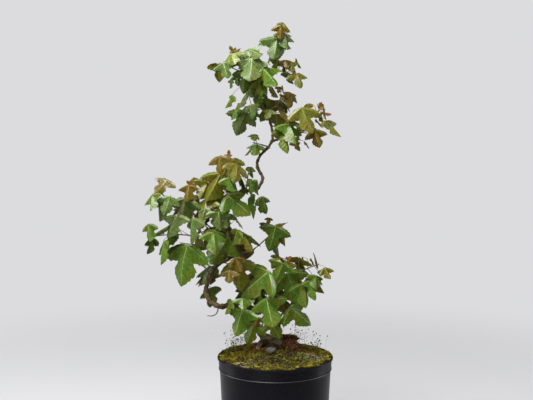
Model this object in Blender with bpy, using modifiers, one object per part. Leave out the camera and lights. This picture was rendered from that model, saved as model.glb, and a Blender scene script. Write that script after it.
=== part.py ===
"""Potted trident maple: a young tree with a winding trunk in a round nursery pot.

The origin is the middle of the pot's flat underside, +Z is up, and -Y is the front.
Sizes below are in millimetres and angles in degrees, and the built meshes are in metres.
"""
import math
import random
from typing import NamedTuple

import bmesh
import bpy
from mathutils import Matrix, Vector
from mathutils.bvhtree import BVHTree

MM = 0.001
UP = Vector((0.0, 0.0, 1.0))
GAP = 0.3
WELD = 0.000001

# Pot: outer radii and heights, from the underside up to the lip.
POT_HEIGHT = 130.0
POT_LIP_RADIUS = 75.0
POT_LIP_DEPTH = 3.2
POT_WALL_TOP_RADIUS = 73.0
POT_BASE_RADIUS = 66.5
POT_WALL = 1.5
POT_FLOOR = 2.2
POT_BEAD_DROP = 15.6
POT_BEAD = 0.8
POT_SIDES = 40
DRAIN_HOLES = 6
DRAIN_RING_RADIUS = 42.0
DRAIN_HOLE_RADIUS = 5.0

# Soil and the moss on it, which rises to a flat-topped mound under the trunk.
SOIL_TOP = 121.0
MOSS_EDGE_TOP = 129.0
MOUND_TOP = 141.5
MOUND_X = 0.0
MOUND_Y = 3.0
MOUND_FLAT_RADIUS = 25.0
MOUND_FOOT_RADIUS = 58.0
MOUND_SHOULDER = 8.0
MOSS_LUMP = 1.6
MOSS_RINGS = 9
MOSS_SPOKES = 36

LIMB_SIDES = 8
BOUGH_SIDES = 6
CURVE_STEPS = 4

# A limb's start is shortened by this step, up to this limit, until it is clear of its host.
SEAT_STEP = 0.05
SEAT_LIMIT = 12.0

# Leaf outline, in shares of the blade's length: half of it, from the base to the tip.
LEAF_HALF = ((0.36, -0.03), (0.70, 0.20), (0.27, 0.38), (0.29, 0.66))
LEAF_VEIN = 0.42
LEAF_THICKNESS = 0.7
LEAF_SINK = 1.3
PETIOLE_RADIUS = 0.6
PETIOLE_CLEAR = 0.4
STEM_ROOT_RADIUS = 1.1
STEM_TIP_RADIUS = 0.7
STEM_POINTS = 6
STEM_KNEE = 0.4
STEM_SIDES = 4

# Where the leaf pairs stand along a stem, and the age that marks a tip's folded young pair.
FIRST_PAIR_AT = 0.32
LAST_PAIR_AT = 0.94
TUFT_AT = 0.98
TUFT_AGE = 1.5

# How a leaf of a mass varies: shares of its size, and angles in degrees.
TIP_LEAF_SHRINK = 0.40
TIP_PETIOLE_SHRINK = 0.3
YOUNG_LEAF_SIZE = 0.34
YOUNG_PETIOLE_SIZE = 0.3
LEAF_SPREAD = (0.84, 1.14)
PETIOLE_SPREAD = (0.6, 1.35)
PETIOLE_FORWARD = (0.2, 0.7)
PETIOLE_RISE = (0.05, 0.5)
HANG = (38, 82)
YOUNG_HANG = (-10, 45)
DROOP = (0.04, 0.20)
FOLD = (0.0, 0.22)
YOUNG_FOLD = (0.25, 0.5)
TO_SIDE = 0.7
TO_LIGHT = 0.9
TO_TIP = 0.3
HEADING_TURN = 40
BLADE_ROLL = 28
BLADE_TWIST = 25
PAIR_TWIST = 0.45

# A leaf that would touch something is swung about its stem by this step, either way in turn.
TRIES = 7
SWING = 16.0


class Bend(NamedTuple):
    """A place that a limb passes through, and the limb's radius there."""

    x: float
    y: float
    z: float
    radius: float


class Limb(NamedTuple):
    """A bough or twig: what it grows from, and its bends from there to its tip."""

    name: str
    host: str
    bends: tuple


class Mass(NamedTuple):
    """A mass of foliage: one stem that leaves its host and bears opposite pairs of leaves.

    The stem starts at a share of its host's length and reaches from there to its tip, and arch lifts
    it between them. The leaves' blades turn towards facing, an angle from the front, and stay inside
    room, a distance from the stem. Tuft is 1 where the tip bears a folded young pair.
    """

    name: str
    host: str
    share: float
    reach: tuple
    arch: float
    pairs: int
    leaf: float
    petiole: float
    facing: float
    room: float
    tuft: int
    bronze: float
    seed: int


class Leaf(NamedTuple):
    """A leaf: where its petiole starts and ends, and how its blade lies."""

    node: Vector
    base: Vector
    midrib: Vector
    face: Vector
    length: float
    droop: float
    fold: float


# The trunk's bends from the ground to its tip, and the bends at which it is split.
TRUNK = (
    Bend(-5, 2, 142, 7.0),
    Bend(-17, 0, 158, 5.0),
    Bend(-38, -5, 187, 3.7),
    Bend(-51, -9, 200, 3.4),
    Bend(-70, -13, 197, 3.3),
    Bend(-86, -14, 207, 3.3),
    Bend(-88, -10, 226, 3.1),
    Bend(-76, -2, 249, 3.0),
    Bend(-51, 6, 264, 2.9),
    Bend(-57, 11, 288, 2.7),
    Bend(-65, 13, 311, 2.6),
    Bend(-47, 9, 341, 3.0),
    Bend(-25, 3, 346, 2.1),
    Bend(-16, -1, 361, 2.0),
    Bend(-24, 0, 381, 1.9),
    Bend(-6, 5, 406, 1.8),
    Bend(-4, 3, 423, 1.6),
    Bend(-18, -1, 466, 1.4),
    Bend(-17, -2, 482, 1.2),
    Bend(-6, 1, 518, 0.9),
)
TRUNK_PARTS = (
    ("trunk_foot", 0, 5),
    ("trunk_lower", 5, 11),
    ("trunk_upper", 11, 18),
    ("leader", 18, 19),
)

# How far the foot runs on below the ground before it is cut flat, and how much wider it is there.
FOOT_BELOW = 6.0
FOOT_FLARE = 1.1

# Surface roots that flare from the trunk's foot: from inside it down to the ground.
ROOTS = (
    (Bend(-13, 0, 154, 5.6), Bend(-1, -4, 151, 5.0), Bend(8, -8, 147, 3.8), Bend(10, -11, 141, 2.6)),
    (Bend(-12, 1, 150, 5.0), Bend(-20, -7, 146, 4.0), Bend(-23, -13, 141, 2.4)),
    (Bend(-9, 4, 150, 5.0), Bend(-8, 14, 146, 4.2), Bend(-5, 22, 141, 2.6)),
)

BOUGHS = (
    Limb("bough_left", "trunk_lower",
         (Bend(-57, 10, 283, 1.7), Bend(-74, 4, 277, 1.5), Bend(-89, -4, 282, 1.3))),
    Limb("bough_right", "trunk_foot",
         (Bend(-39, -5, 190, 2.1), Bend(-28, 2, 205, 1.9), Bend(-12, 0, 218, 1.6), Bend(0, -4, 224, 1.3))),
    Limb("bough_right_low", "",
         (Bend(8, 9, MOUND_TOP + GAP, 2.2), Bend(8, 9, 152, 1.8), Bend(6, 4, 177, 1.5),
          Bend(20, 2, 196, 1.3), Bend(33, 0, 214, 1.0))),
    Limb("bough_upper_right", "trunk_upper",
         (Bend(-3, 4, 409, 1.2), Bend(11, 0, 413, 1.1), Bend(27, -6, 424, 0.9))),
    Limb("bough_middle_right", "trunk_lower",
         (Bend(-50, 6, 264, 1.2), Bend(-33, 0, 266, 1.1), Bend(-21, -4, 275, 0.9))),
    Limb("dead_twig", "trunk_foot",
         (Bend(-73, -13, 197, 0.8), Bend(-75, -16, 189, 0.7), Bend(-81, -17, 186, 0.6),
          Bend(-87, -17, 186, 0.5))),
)

# Masses of foliage: name, host and share of its length, reach, arch, leaf pairs, leaf and petiole
# length, facing, room, tuft, bronze share and seed.
MASSES = (
    Mass("foliage_top", "leader", 1.00, (13, -5, 35), 0, 3, 34, 12, 0, 36, 1, 0.5, 57),
    Mass("foliage_upper_left_high", "leader", 0.12, (-34, -8, 29), 4, 3, 40, 20, -20, 46, 1, 0.3, 16),
    Mass("foliage_upper_left_far", "trunk_upper", 0.97, (-48, -6, 24),
         4, 2, 36, 18, -50, 42, 0, 0.4, 45),
    Mass("foliage_upper_front", "leader", 0.07, (-8, -24, 12), 2, 1, 46, 8, -5, 50, 0, 0.0, 46),
    Mass("foliage_upper_left_low", "trunk_upper", 0.90, (-25, 11, 11),
         3, 2, 28, 26, -50, 48, 0, 0.1, 121),
    Mass("foliage_upper_right", "leader", 0.43, (29, 11, -6), 3, 2, 34, 18, 50, 44, 0, 0.4, 107),
    Mass("foliage_upper_centre", "trunk_upper", 0.93, (4, -15, -1), 2, 2, 24, 10, 20, 34, 0, 0.2, 47),
    Mass("foliage_upper_back", "trunk_upper", 0.87, (-9, 34, 23), 2, 2, 32, 14, 180, 42, 0, 0.2, 124),
    Mass("foliage_centre_left", "trunk_upper", 0.83, (-23, -16, -7), 3, 2, 34, 18, -20, 46, 0, 0.1, 37),
    Mass("foliage_centre_back", "trunk_upper", 0.72, (11, 36, 11), 2, 2, 34, 14, 160, 44, 0, 0.3, 121),
    Mass("foliage_right_high", "trunk_upper", 0.75, (28, 15, 21), 2, 2, 34, 14, 20, 42, 0, 0.1, 95),
    Mass("foliage_right_tip", "bough_upper_right", 1.00, (28, 0, 23), 4, 3, 36, 20, 40, 46, 1, 0.7, 40),
    Mass("foliage_right_under", "bough_upper_right", 0.74, (19, 7, 0),
         2, 1, 32, 22, 50, 50, 0, 0.5, 32),
    Mass("foliage_right_near", "trunk_upper", 0.65, (17, -29, -1), 2, 2, 48, 10, 5, 52, 0, 0.1, 62),
    Mass("foliage_bend_leaves", "trunk_upper", 0.49, (-18, 2, 5), 1, 2, 20, 14, -10, 28, 0, 0.2, 56),
    Mass("foliage_shoulder", "trunk_lower", 0.97, (-12, -16, 47), 0, 3, 38, 18, -25, 46, 1, 0.3, 100),
    Mass("foliage_shoulder_front", "trunk_lower", 0.93, (-10, -35, 31),
         0, 2, 38, 12, -5, 46, 0, 0.1, 14),
    Mass("foliage_shoulder_right", "trunk_upper", 0.04, (3, -4, 24), 1, 2, 30, 14, 40, 40, 0, 0.0, 76),
    Mass("foliage_shoulder_back", "trunk_lower", 0.89, (-12, 32, 15),
         1, 3, 34, 14, 170, 44, 0, 0.2, 125),
    Mass("foliage_knot_hanging", "trunk_upper", 0.07, (2, -18, -9), 4, 1, 42, 8, 25, 48, 0, 0.2, 198),
    Mass("foliage_left_large", "bough_left", 0.62, (-41, -32, 4), -5, 1, 74, 8, -10, 84, 0, 0.0, 285),
    Mass("foliage_left_high", "trunk_lower", 0.80, (-42, -1, 34), 0, 3, 34, 16, -25, 44, 1, 0.6, 128),
    Mass("foliage_left_far_high", "bough_left", 0.72, (-66, -15, 67),
         -4, 4, 38, 20, -35, 50, 1, 0.3, 30),
    Mass("foliage_left_far_low", "bough_left", 1.00, (-71, -8, 5), 3, 3, 38, 18, -40, 48, 0, 0.2, 82),
    Mass("foliage_left_near", "bough_left", 0.34, (-40, 16, 36), 0, 2, 28, 16, -40, 40, 1, 0.3, 20),
    Mass("foliage_left_back", "bough_left", 0.22, (-55, 36, 42), 2, 2, 34, 16, -150, 44, 0, 0.3, 102),
    Mass("foliage_left_low", "trunk_lower", 0.19, (-21, 23, 15), 3, 2, 32, 22, -50, 46, 0, 0.1, 134),
    Mass("foliage_middle_high", "trunk_lower", 0.76, (-6, -39, 14), 3, 2, 44, 12, 0, 48, 0, 0.1, 58),
    Mass("foliage_middle", "trunk_lower", 0.60, (-18, -44, 14), 3, 2, 46, 12, 0, 50, 0, 0.0, 62),
    Mass("foliage_middle_back", "trunk_lower", 0.63, (-13, 33, -19),
         2, 2, 36, 14, 180, 46, 0, 0.2, 129),
    Mass("foliage_middle_right", "trunk_lower", 0.50, (7, -31, 20), 2, 2, 40, 12, 10, 46, 0, 0.0, 14),
    Mass("foliage_middle_right_tip", "bough_middle_right", 1.00, (26, 10, 20),
         2, 3, 36, 16, 30, 46, 0, 0.4, 38),
    Mass("foliage_middle_low", "trunk_lower", 0.32, (13, -27, -1), 2, 2, 36, 14, -5, 44, 0, 0.5, 65),
    Mass("foliage_right_inner", "bough_right", 0.38, (-8, 12, 23), 2, 2, 36, 14, -15, 44, 0, 0.3, 49),
    Mass("foliage_right_front", "bough_right", 0.82, (18, -27, 37), 2, 2, 48, 14, 0, 58, 1, 0.0, 93),
    Mass("foliage_right_far", "bough_right", 1.00, (56, 10, 25), 6, 4, 34, 18, 70, 46, 0, 0.3, 116),
    Mass("foliage_right_back", "bough_right", 0.63, (13, 43, 5), 2, 2, 36, 14, 170, 46, 0, 0.2, 51),
    Mass("foliage_right_low_front", "bough_right", 0.74, (3, -32, -4), 2, 1, 50, 8, 0, 52, 0, 0.1, 129),
    Mass("foliage_right_low", "bough_right_low", 0.67, (1, -22, 6), 1, 1, 48, 6, 15, 54, 0, 0.0, 111),
    Mass("foliage_right_low_tip", "bough_right_low", 1.00, (6, -6, 17),
         -3, 3, 36, 16, 40, 46, 0, 0.1, 57),
    Mass("foliage_low_left", "trunk_foot", 0.49, (-10, -25, 15), 2, 2, 34, 14, -20, 42, 0, 0.1, 170),
    Mass("foliage_low_back", "trunk_foot", 0.45, (2, 44, 23), 2, 2, 34, 14, 170, 44, 0, 0.2, 111),
    Mass("foliage_basal", "trunk_foot", 0.18, (1, -14, 24), 1, 2, 28, 14, 0, 38, 0, 0.4, 93),
    Mass("foliage_behind_bend", "trunk_lower", 0.08, (-3, 42, 4), 2, 2, 30, 14, -120, 38, 0, 0.3, 4),
)

# Lumps that lie on the moss: name, place, radii, turn in degrees, seed and colour.
LUMPS = (
    ("stone", (-5, -31), (7.5, 5.0, 4.6), 10, 3, (0.20, 0.21, 0.23)),
    ("bark_mound", (16, 25), (15.5, 12.5, 6.5), 0, 5, (0.09, 0.035, 0.025)),
)
LUMP_ROUGHNESS = (0.86, 1.06)
LUMP_FLAT = -0.45

# The space round the bark mound that leaves keep out of.
HEAP_FOOT_RADIUS = 17.5
HEAP_TOP_RADIUS = 9.0
HEAP_TOP = 161.5

LEAF_GREEN = (0.070, 0.150, 0.030)
LEAF_BRONZE = (0.170, 0.110, 0.020)
BARK = (0.110, 0.080, 0.060)
YOUNG_BARK = (0.130, 0.140, 0.050)
DEAD_WOOD = (0.160, 0.130, 0.110)


def smooth(bends, steps):
    """Curve through the bends, as rows of place and radius."""
    rows = [Vector(bend) for bend in bends]
    path = []
    for index in range(len(rows) - 1):
        before = rows[max(index - 1, 0)]
        start = rows[index]
        end = rows[index + 1]
        after = rows[min(index + 2, len(rows) - 1)]
        for step in range(steps):
            t = step / steps
            path.append(0.5 * (2 * start + (end - before) * t
                               + (2 * before - 5 * start + 4 * end - after) * t * t
                               + (3 * start - before - 3 * end + after) * t ** 3))
    path.append(rows[-1])
    return [(row.xyz, row.w) for row in path]


def place_at(path, share):
    """Place, radius and direction at a share of a path's length."""
    lengths = [(b[0] - a[0]).length for a, b in zip(path, path[1:])]
    left = share * sum(lengths)
    for index, length in enumerate(lengths):
        if left <= length or index == len(lengths) - 1:
            (start, start_radius), (end, end_radius) = path[index], path[index + 1]
            t = min(left / length, 1.0)
            radius = start_radius + (end_radius - start_radius) * t
            return start.lerp(end, t), radius, (end - start).normalized()
        left -= length
    raise ValueError("empty path")


def trimmed(path, start_cut, end_cut):
    """The path without a length of its start and a length of its end."""
    path = list(path)
    for cut in (end_cut, start_cut):
        path.reverse()
        left = cut
        while left > 0.0:
            (first, first_radius), (second, second_radius) = path[0], path[1]
            length = (second - first).length
            if length > left:
                t = left / length
                path[0] = (first.lerp(second, t), first_radius + (second_radius - first_radius) * t)
                break
            left -= length
            path.pop(0)
    return path


def distance_outside(point, path):
    """Distance from a point to the surface of a round limb along a path."""
    nearest = math.inf
    for (start, start_radius), (end, end_radius) in zip(path, path[1:]):
        along = end - start
        t = min(max((point - start).dot(along) / along.length_squared, 0.0), 1.0)
        radius = start_radius + (end_radius - start_radius) * t
        nearest = min(nearest, (point - start.lerp(end, t)).length - radius)
    return nearest


def ring(centre, direction, radius, sides):
    """Points round a centre, square to a direction."""
    turn = direction.to_track_quat("Z", "Y")
    angles = [math.tau * side / sides for side in range(sides)]
    return [centre + turn @ Vector((math.cos(a), math.sin(a), 0.0)) * radius for a in angles]


def seated(path, host):
    """The path without the stretch of its start that is inside its host or less than a gap off it."""
    cut = 0.0
    while cut < SEAT_LIMIT:
        rest = trimmed(path, cut, 0.0)
        (start, radius), (second, _) = rest[0], rest[1]
        rim = ring(start, (second - start).normalized(), radius, LIMB_SIDES)
        if min(distance_outside(point, host) for point in rim) >= GAP:
            return rest
        cut += SEAT_STEP
    raise ValueError("a limb never leaves its host")


def split_trunk():
    """The trunk's parts as paths, cut square with a gap in the middle of a straight step."""
    whole = smooth(TRUNK, CURVE_STEPS)
    paths = {}
    for name, first, last in TRUNK_PARTS:
        path = whole[first * CURVE_STEPS:last * CURVE_STEPS + 2]
        first_step = (path[1][0] - path[0][0]).length
        last_step = (path[-1][0] - path[-2][0]).length
        start_cut = (first_step + GAP) / 2 if first > 0 else 0.0
        end_cut = (last_step + GAP) / 2 if last < len(TRUNK) - 1 else 0.0
        paths[name] = trimmed(path, start_cut, end_cut)
    return paths


def stem_of(mass, paths):
    """The stem's path: it leaves its host a gap clear and bends to its tip."""
    host = paths[mass.host]
    root, host_radius, host_direction = place_at(host, mass.share)
    tip = root + Vector(mass.reach)
    if mass.share >= 1.0:
        root = root + host_direction * GAP
        heading = host_direction
    else:
        heading = (tip - root).normalized()
    knee = root + heading * (tip - root).length * STEM_KNEE + UP * mass.arch
    path = []
    for index in range(STEM_POINTS):
        t = index / (STEM_POINTS - 1)
        point = root * (1 - t) ** 2 + knee * 2 * t * (1 - t) + tip * t * t
        path.append((point, STEM_ROOT_RADIUS + (STEM_TIP_RADIUS - STEM_ROOT_RADIUS) * t))
    if mass.share >= 1.0:
        root_radius = min(STEM_ROOT_RADIUS, host_radius)
        return [(path[0][0], root_radius)] + path[1:]
    return seated(path, host)


class Shell(NamedTuple):
    """A closed test surface round a piece, with its box."""

    tree: BVHTree
    low: Vector
    high: Vector


def shell_of(points, faces):
    """The test surface of a piece's points and faces."""
    low = Vector([min(point[axis] for point in points) for axis in range(3)])
    high = Vector([max(point[axis] for point in points) for axis in range(3)])
    return Shell(BVHTree.FromPolygons(points, faces), low, high)


def tube_shell(path, extra, sides):
    """Test surface round a limb, stem or petiole, wider than it by a margin."""
    points = []
    faces = []
    for index, (centre, radius) in enumerate(path):
        before = path[max(index - 1, 0)][0]
        after = path[min(index + 1, len(path) - 1)][0]
        reach = (radius + extra) / math.cos(math.pi / sides)
        points += ring(centre, (after - before).normalized(), reach, sides)
    for index in range(len(path) - 1):
        for side in range(sides):
            a = index * sides + side
            b = index * sides + (side + 1) % sides
            faces.append((a, b, b + sides, a + sides))
    faces.append(tuple(range(sides)))
    faces.append(tuple(range((len(path) - 1) * sides, len(path) * sides)))
    return shell_of(points, faces)


def blade_points(leaf, scale=1.0):
    """Middle surface of a leaf's blade: its outline from base to tip and back, then its vein point."""
    across = leaf.midrib.cross(leaf.face)
    right = list(LEAF_HALF)
    left = [(-x, y) for x, y in reversed(LEAF_HALF)]
    outline = [(0.0, 0.0)] + right + [(0.0, 1.0)] + left + [(0.0, LEAF_VEIN)]
    points = []
    for x, y in outline:
        x *= scale
        y = LEAF_VEIN + (y - LEAF_VEIN) * scale
        sag = leaf.droop * y * y + leaf.fold * abs(x)
        points.append(leaf.base + (across * x + leaf.midrib * y - leaf.face * sag) * leaf.length)
    return points


def blade_faces():
    """Faces of a blade's middle surface: a fan round its vein point."""
    rim = 2 * len(LEAF_HALF) + 2
    return [(index, (index + 1) % rim, rim) for index in range(rim)]


def blade_shell(leaf, margin):
    """Test surface round a blade, thicker than it by a margin on each side."""
    middle = blade_points(leaf, 1.0 + margin / leaf.length)
    count = len(middle)
    offset = leaf.face * (LEAF_THICKNESS / 2 + margin)
    points = [point + offset for point in middle] + [point - offset for point in middle]
    faces = blade_faces()
    under = [tuple(index + count for index in reversed(face)) for face in faces]
    rim = count - 1
    sides = [(index, index + count, (index + 1) % rim + count, (index + 1) % rim) for index in range(rim)]
    return shell_of(points, faces + under + sides)


def meets(shell, others):
    """True where a test surface touches one of the others."""
    for other in others:
        apart = any(shell.low[axis] > other.high[axis] or shell.high[axis] < other.low[axis]
                    for axis in range(3))
        if not apart and shell.tree.overlap(other.tree):
            return True
    return False


def level(vector):
    """The vector without its height."""
    return Vector((vector.x, vector.y, 0.0))


def facing_of(degrees):
    """Level direction at an angle from the front, turning towards the right."""
    angle = math.radians(degrees)
    return Vector((math.sin(angle), -math.cos(angle), 0.0))


def grow_leaf(mass, node, radial, axis, age, draw):
    """One leaf at a node: its petiole leans out from the stem, and its blade turns to the light and hangs."""
    young = age > 1.0
    size = YOUNG_LEAF_SIZE if young else 1.0 - TIP_LEAF_SHRINK * age
    petiole_size = YOUNG_PETIOLE_SIZE if young else 1.0 - TIP_PETIOLE_SHRINK * age
    length = mass.leaf * size * draw.uniform(*LEAF_SPREAD)
    petiole = mass.petiole * petiole_size * draw.uniform(*PETIOLE_SPREAD)
    out = radial + axis * draw.uniform(*PETIOLE_FORWARD) + UP * draw.uniform(*PETIOLE_RISE)
    base = node + out.normalized() * petiole
    heading = level(radial) * TO_SIDE + facing_of(mass.facing) * TO_LIGHT + level(axis) * TO_TIP
    turn = draw.uniform(-HEADING_TURN, HEADING_TURN)
    heading = Matrix.Rotation(math.radians(turn), 3, "Z") @ heading.normalized()
    hang = math.radians(draw.uniform(*(YOUNG_HANG if young else HANG)))
    midrib = heading * math.cos(hang) - UP * math.sin(hang)
    face = heading * math.sin(hang) + UP * math.cos(hang)
    roll = Matrix.Rotation(math.radians(draw.uniform(-BLADE_ROLL, BLADE_ROLL)), 3, midrib)
    twist = Matrix.Rotation(math.radians(draw.uniform(-BLADE_TWIST, BLADE_TWIST)), 3, face)
    midrib = twist @ midrib
    face = twist @ (roll @ face)
    face = (face - midrib * face.dot(midrib)).normalized()
    droop = draw.uniform(*DROOP)
    fold = draw.uniform(*(YOUNG_FOLD if young else FOLD))
    return Leaf(node, base - midrib * LEAF_SINK, midrib, face, length, droop, fold)


def turned_about(leaf, axis, degrees):
    """The leaf swung about its stem."""
    turn = Matrix.Rotation(math.radians(degrees), 3, axis)
    base = leaf.node + turn @ (leaf.base - leaf.node)
    return leaf._replace(base=base, midrib=turn @ leaf.midrib, face=turn @ leaf.face)


def petiole_path(leaf):
    """Petiole from the middle of the stem to just inside the blade."""
    return [(leaf.node, PETIOLE_RADIUS), (leaf.base + leaf.midrib * LEAF_SINK, PETIOLE_RADIUS)]


def fits(leaf, petiole, stem, room, others, own):
    """True where the leaf is inside the mass's own space and a gap clear of all that is there."""
    if any(distance_outside(point, stem) >= room for point in blade_points(leaf)):
        return False
    if meets(blade_shell(leaf, GAP), others + own):
        return False
    return not meets(tube_shell(petiole, GAP, STEM_SIDES), others)


def ages_of(mass):
    """Ages of a mass's leaf pairs along its stem, from 0 for the oldest, and its tip's folded pair last."""
    if mass.pairs == 1:
        ages = [0.5]
    else:
        ages = [index / (mass.pairs - 1) for index in range(mass.pairs)]
    return ages + [TUFT_AGE] * mass.tuft


def grow_mass(mass, stem, others):
    """The mass's leaves, in opposite pairs each a quarter turn on, and the test surfaces that they fill."""
    draw = random.Random(mass.seed)
    roll = draw.uniform(0.0, math.tau)
    leaves = []
    own = [tube_shell(stem, 0.0, STEM_SIDES)]
    for index, age in enumerate(ages_of(mass)):
        share = TUFT_AT if age > 1.0 else FIRST_PAIR_AT + (LAST_PAIR_AT - FIRST_PAIR_AT) * age
        node, _, axis = place_at(stem, share)
        level_side = axis.cross(UP).normalized()
        other_side = axis.cross(level_side)
        angle = roll + index * math.pi / 2
        for side in (1.0, -1.0):
            spread = angle + draw.uniform(-PAIR_TWIST, PAIR_TWIST)
            radial = (level_side * math.cos(spread) + other_side * math.sin(spread)) * side
            leaf = grow_leaf(mass, node, radial, axis, age, draw)
            for attempt in range(TRIES):
                swing = (attempt + 1) // 2 * SWING * (1.0 if attempt % 2 else -1.0)
                turned = turned_about(leaf, axis, swing)
                petiole = trimmed(petiole_path(turned), STEM_ROOT_RADIUS + PETIOLE_CLEAR, 0.0)
                if fits(turned, petiole, stem, mass.room, others, own):
                    leaves.append(turned)
                    own.append(blade_shell(turned, 0.0))
                    own.append(tube_shell(petiole, 0.0, STEM_SIDES))
                    break
    return leaves, own


def grow_tree():
    """Paths of the trunk's parts and boughs, the masses' stems and the leaves on each stem."""
    paths = split_trunk()
    for bough in BOUGHS:
        path = smooth(bough.bends, CURVE_STEPS)
        paths[bough.name] = seated(path, paths[bough.host]) if bough.host else path
    stems = {mass.name: stem_of(mass, paths) for mass in MASSES}
    roots = [smooth(root, CURVE_STEPS) for root in ROOTS]
    limbs = [tube_shell(path, 0.0, LIMB_SIDES) for path in list(paths.values()) + roots]
    stem_shells = {name: tube_shell(stem, 0.0, STEM_SIDES) for name, stem in stems.items()}
    pot_space = [(Vector((0, 0, 0)), POT_LIP_RADIUS), (Vector((0, 0, POT_HEIGHT)), POT_LIP_RADIUS)]
    mound_space = [(Vector((MOUND_X, MOUND_Y, POT_HEIGHT)), MOUND_FOOT_RADIUS - MOUND_SHOULDER),
                   (Vector((MOUND_X, MOUND_Y, MOUND_TOP)), MOUND_FLAT_RADIUS + MOUND_SHOULDER / 2)]
    heap_x, heap_y = LUMPS[-1][1]
    heap_space = [(Vector((heap_x, heap_y, MOUND_TOP)), HEAP_FOOT_RADIUS),
                  (Vector((heap_x, heap_y, HEAP_TOP)), HEAP_TOP_RADIUS)]
    spaces = (pot_space, mound_space, heap_space)
    filled = limbs + [tube_shell(space, 0.0, POT_SIDES) for space in spaces]
    leaves = {}
    for mass in MASSES:
        other_stems = [shell for name, shell in stem_shells.items() if name != mass.name]
        leaves[mass.name], own = grow_mass(mass, stems[mass.name], filled + other_stems)
        filled = filled + own[1:]
    return paths, stems, leaves


def to_collection(obj, collection):
    """The new object, linked into a collection."""
    collection.objects.link(obj)
    return obj


def new_collection(name):
    """A new collection in the scene."""
    collection = bpy.data.collections.new(name)
    bpy.context.scene.collection.children.link(collection)
    return collection


def finish(obj, colour, roughness):
    """Gives the object its own material."""
    material = bpy.data.materials.new(obj.name)
    material.use_nodes = True
    shader = material.node_tree.nodes["Principled BSDF"]
    shader.inputs["Base Color"].default_value = (*colour, 1.0)
    shader.inputs["Roughness"].default_value = roughness
    shader.inputs["Metallic"].default_value = 0.0
    obj.data.materials.clear()
    obj.data.materials.append(material)


def baked(obj, collection):
    """A mesh object of what the viewport shows of an object, in the object's place."""
    graph = bpy.context.evaluated_depsgraph_get()
    graph.update()
    mesh = bpy.data.meshes.new_from_object(obj.evaluated_get(graph))
    name = obj.name
    matrix = obj.matrix_world.copy()
    bpy.data.objects.remove(obj)
    solid = to_collection(bpy.data.objects.new(name, mesh), collection)
    solid.matrix_world = matrix
    return solid


def tube(name, path, sides, collection):
    """Tapering round limb along a path, with flat ends."""
    curve = bpy.data.curves.new(name, "CURVE")
    curve.dimensions = "3D"
    curve.bevel_depth = 1.0
    curve.bevel_resolution = (sides - 4) // 2
    curve.use_fill_caps = True
    spline = curve.splines.new("POLY")
    spline.points.add(len(path) - 1)
    for point, (place, radius) in zip(spline.points, path):
        point.co = (*(place * MM), 1.0)
        point.radius = radius * MM
    solid = baked(to_collection(bpy.data.objects.new(name, curve), collection), collection)
    edit = bmesh.new()
    edit.from_mesh(solid.data)
    bmesh.ops.remove_doubles(edit, verts=edit.verts, dist=WELD)
    edit.to_mesh(solid.data)
    edit.free()
    solid.data.shade_smooth()
    solid.data.set_sharp_from_angle(angle=math.radians(50))
    return solid


def petiole_solid(name, leaf, collection):
    """Three-sided petiole from its node on the stem to its blade."""
    (start, _), (end, _) = petiole_path(leaf)
    edit = bmesh.new()
    bmesh.ops.create_cone(edit, cap_ends=True, segments=3, radius1=PETIOLE_RADIUS * MM,
                          radius2=PETIOLE_RADIUS * MM, depth=(end - start).length * MM)
    mesh = bpy.data.meshes.new(name)
    edit.to_mesh(mesh)
    edit.free()
    solid = to_collection(bpy.data.objects.new(name, mesh), collection)
    turn = (end - start).to_track_quat("Z", "Y").to_matrix().to_4x4()
    solid.matrix_world = Matrix.Translation((start + end) / 2 * MM) @ turn
    return solid


def blade_solid(name, leaf, collection):
    """Three-lobed blade: a folded sheet given its thickness."""
    mesh = bpy.data.meshes.new(name)
    mesh.from_pydata([point * MM for point in blade_points(leaf)], [], blade_faces())
    solid = to_collection(bpy.data.objects.new(name, mesh), collection)
    shell = solid.modifiers.new("thickness", "SOLIDIFY")
    shell.thickness = LEAF_THICKNESS * MM
    shell.offset = 0.0
    return solid


def emptied(collection):
    """Removes a collection with the objects in it."""
    for obj in list(collection.objects):
        bpy.data.objects.remove(obj)
    bpy.data.collections.remove(collection)


def united(base, pieces, collection):
    """One solid of a base and a collection of pieces that are sunk in it."""
    union = base.modifiers.new("union", "BOOLEAN")
    union.operation = "UNION"
    union.operand_type = "COLLECTION"
    union.solver = "MANIFOLD"
    union.collection = pieces
    solid = baked(base, collection)
    emptied(pieces)
    return solid


def foliage(mass, stem, leaves, collection):
    """A mass's node: its stem with the petioles and blades fused on."""
    base = tube(mass.name, stem, STEM_SIDES, collection)
    pieces = new_collection(mass.name + "_pieces")
    for index, leaf in enumerate(leaves):
        petiole_solid(f"{mass.name}_petiole_{index}", leaf, pieces)
        blade_solid(f"{mass.name}_blade_{index}", leaf, pieces)
    solid = united(base, pieces, collection)
    colour = [green + (bronze - green) * mass.bronze for green, bronze in zip(LEAF_GREEN, LEAF_BRONZE)]
    finish(solid, colour, 0.5)
    return solid


def box_cutter(name, low, high, cutters):
    """Box between two corners, for cutting with."""
    edit = bmesh.new()
    bmesh.ops.create_cube(edit, size=1.0)
    mesh = bpy.data.meshes.new(name)
    edit.to_mesh(mesh)
    edit.free()
    cutter = to_collection(bpy.data.objects.new(name, mesh), cutters)
    cutter.matrix_world = (Matrix.Translation((low + high) / 2 * MM)
                           @ Matrix.Diagonal((*((high - low) * MM), 1.0)))
    cutter.hide_render = True
    cutter.display_type = "WIRE"
    return cutter


def cut(obj, cutter):
    """Cuts a cutter's shape out of an object."""
    difference = obj.modifiers.new(cutter.name, "BOOLEAN")
    difference.operation = "DIFFERENCE"
    difference.solver = "MANIFOLD"
    difference.object = cutter


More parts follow.
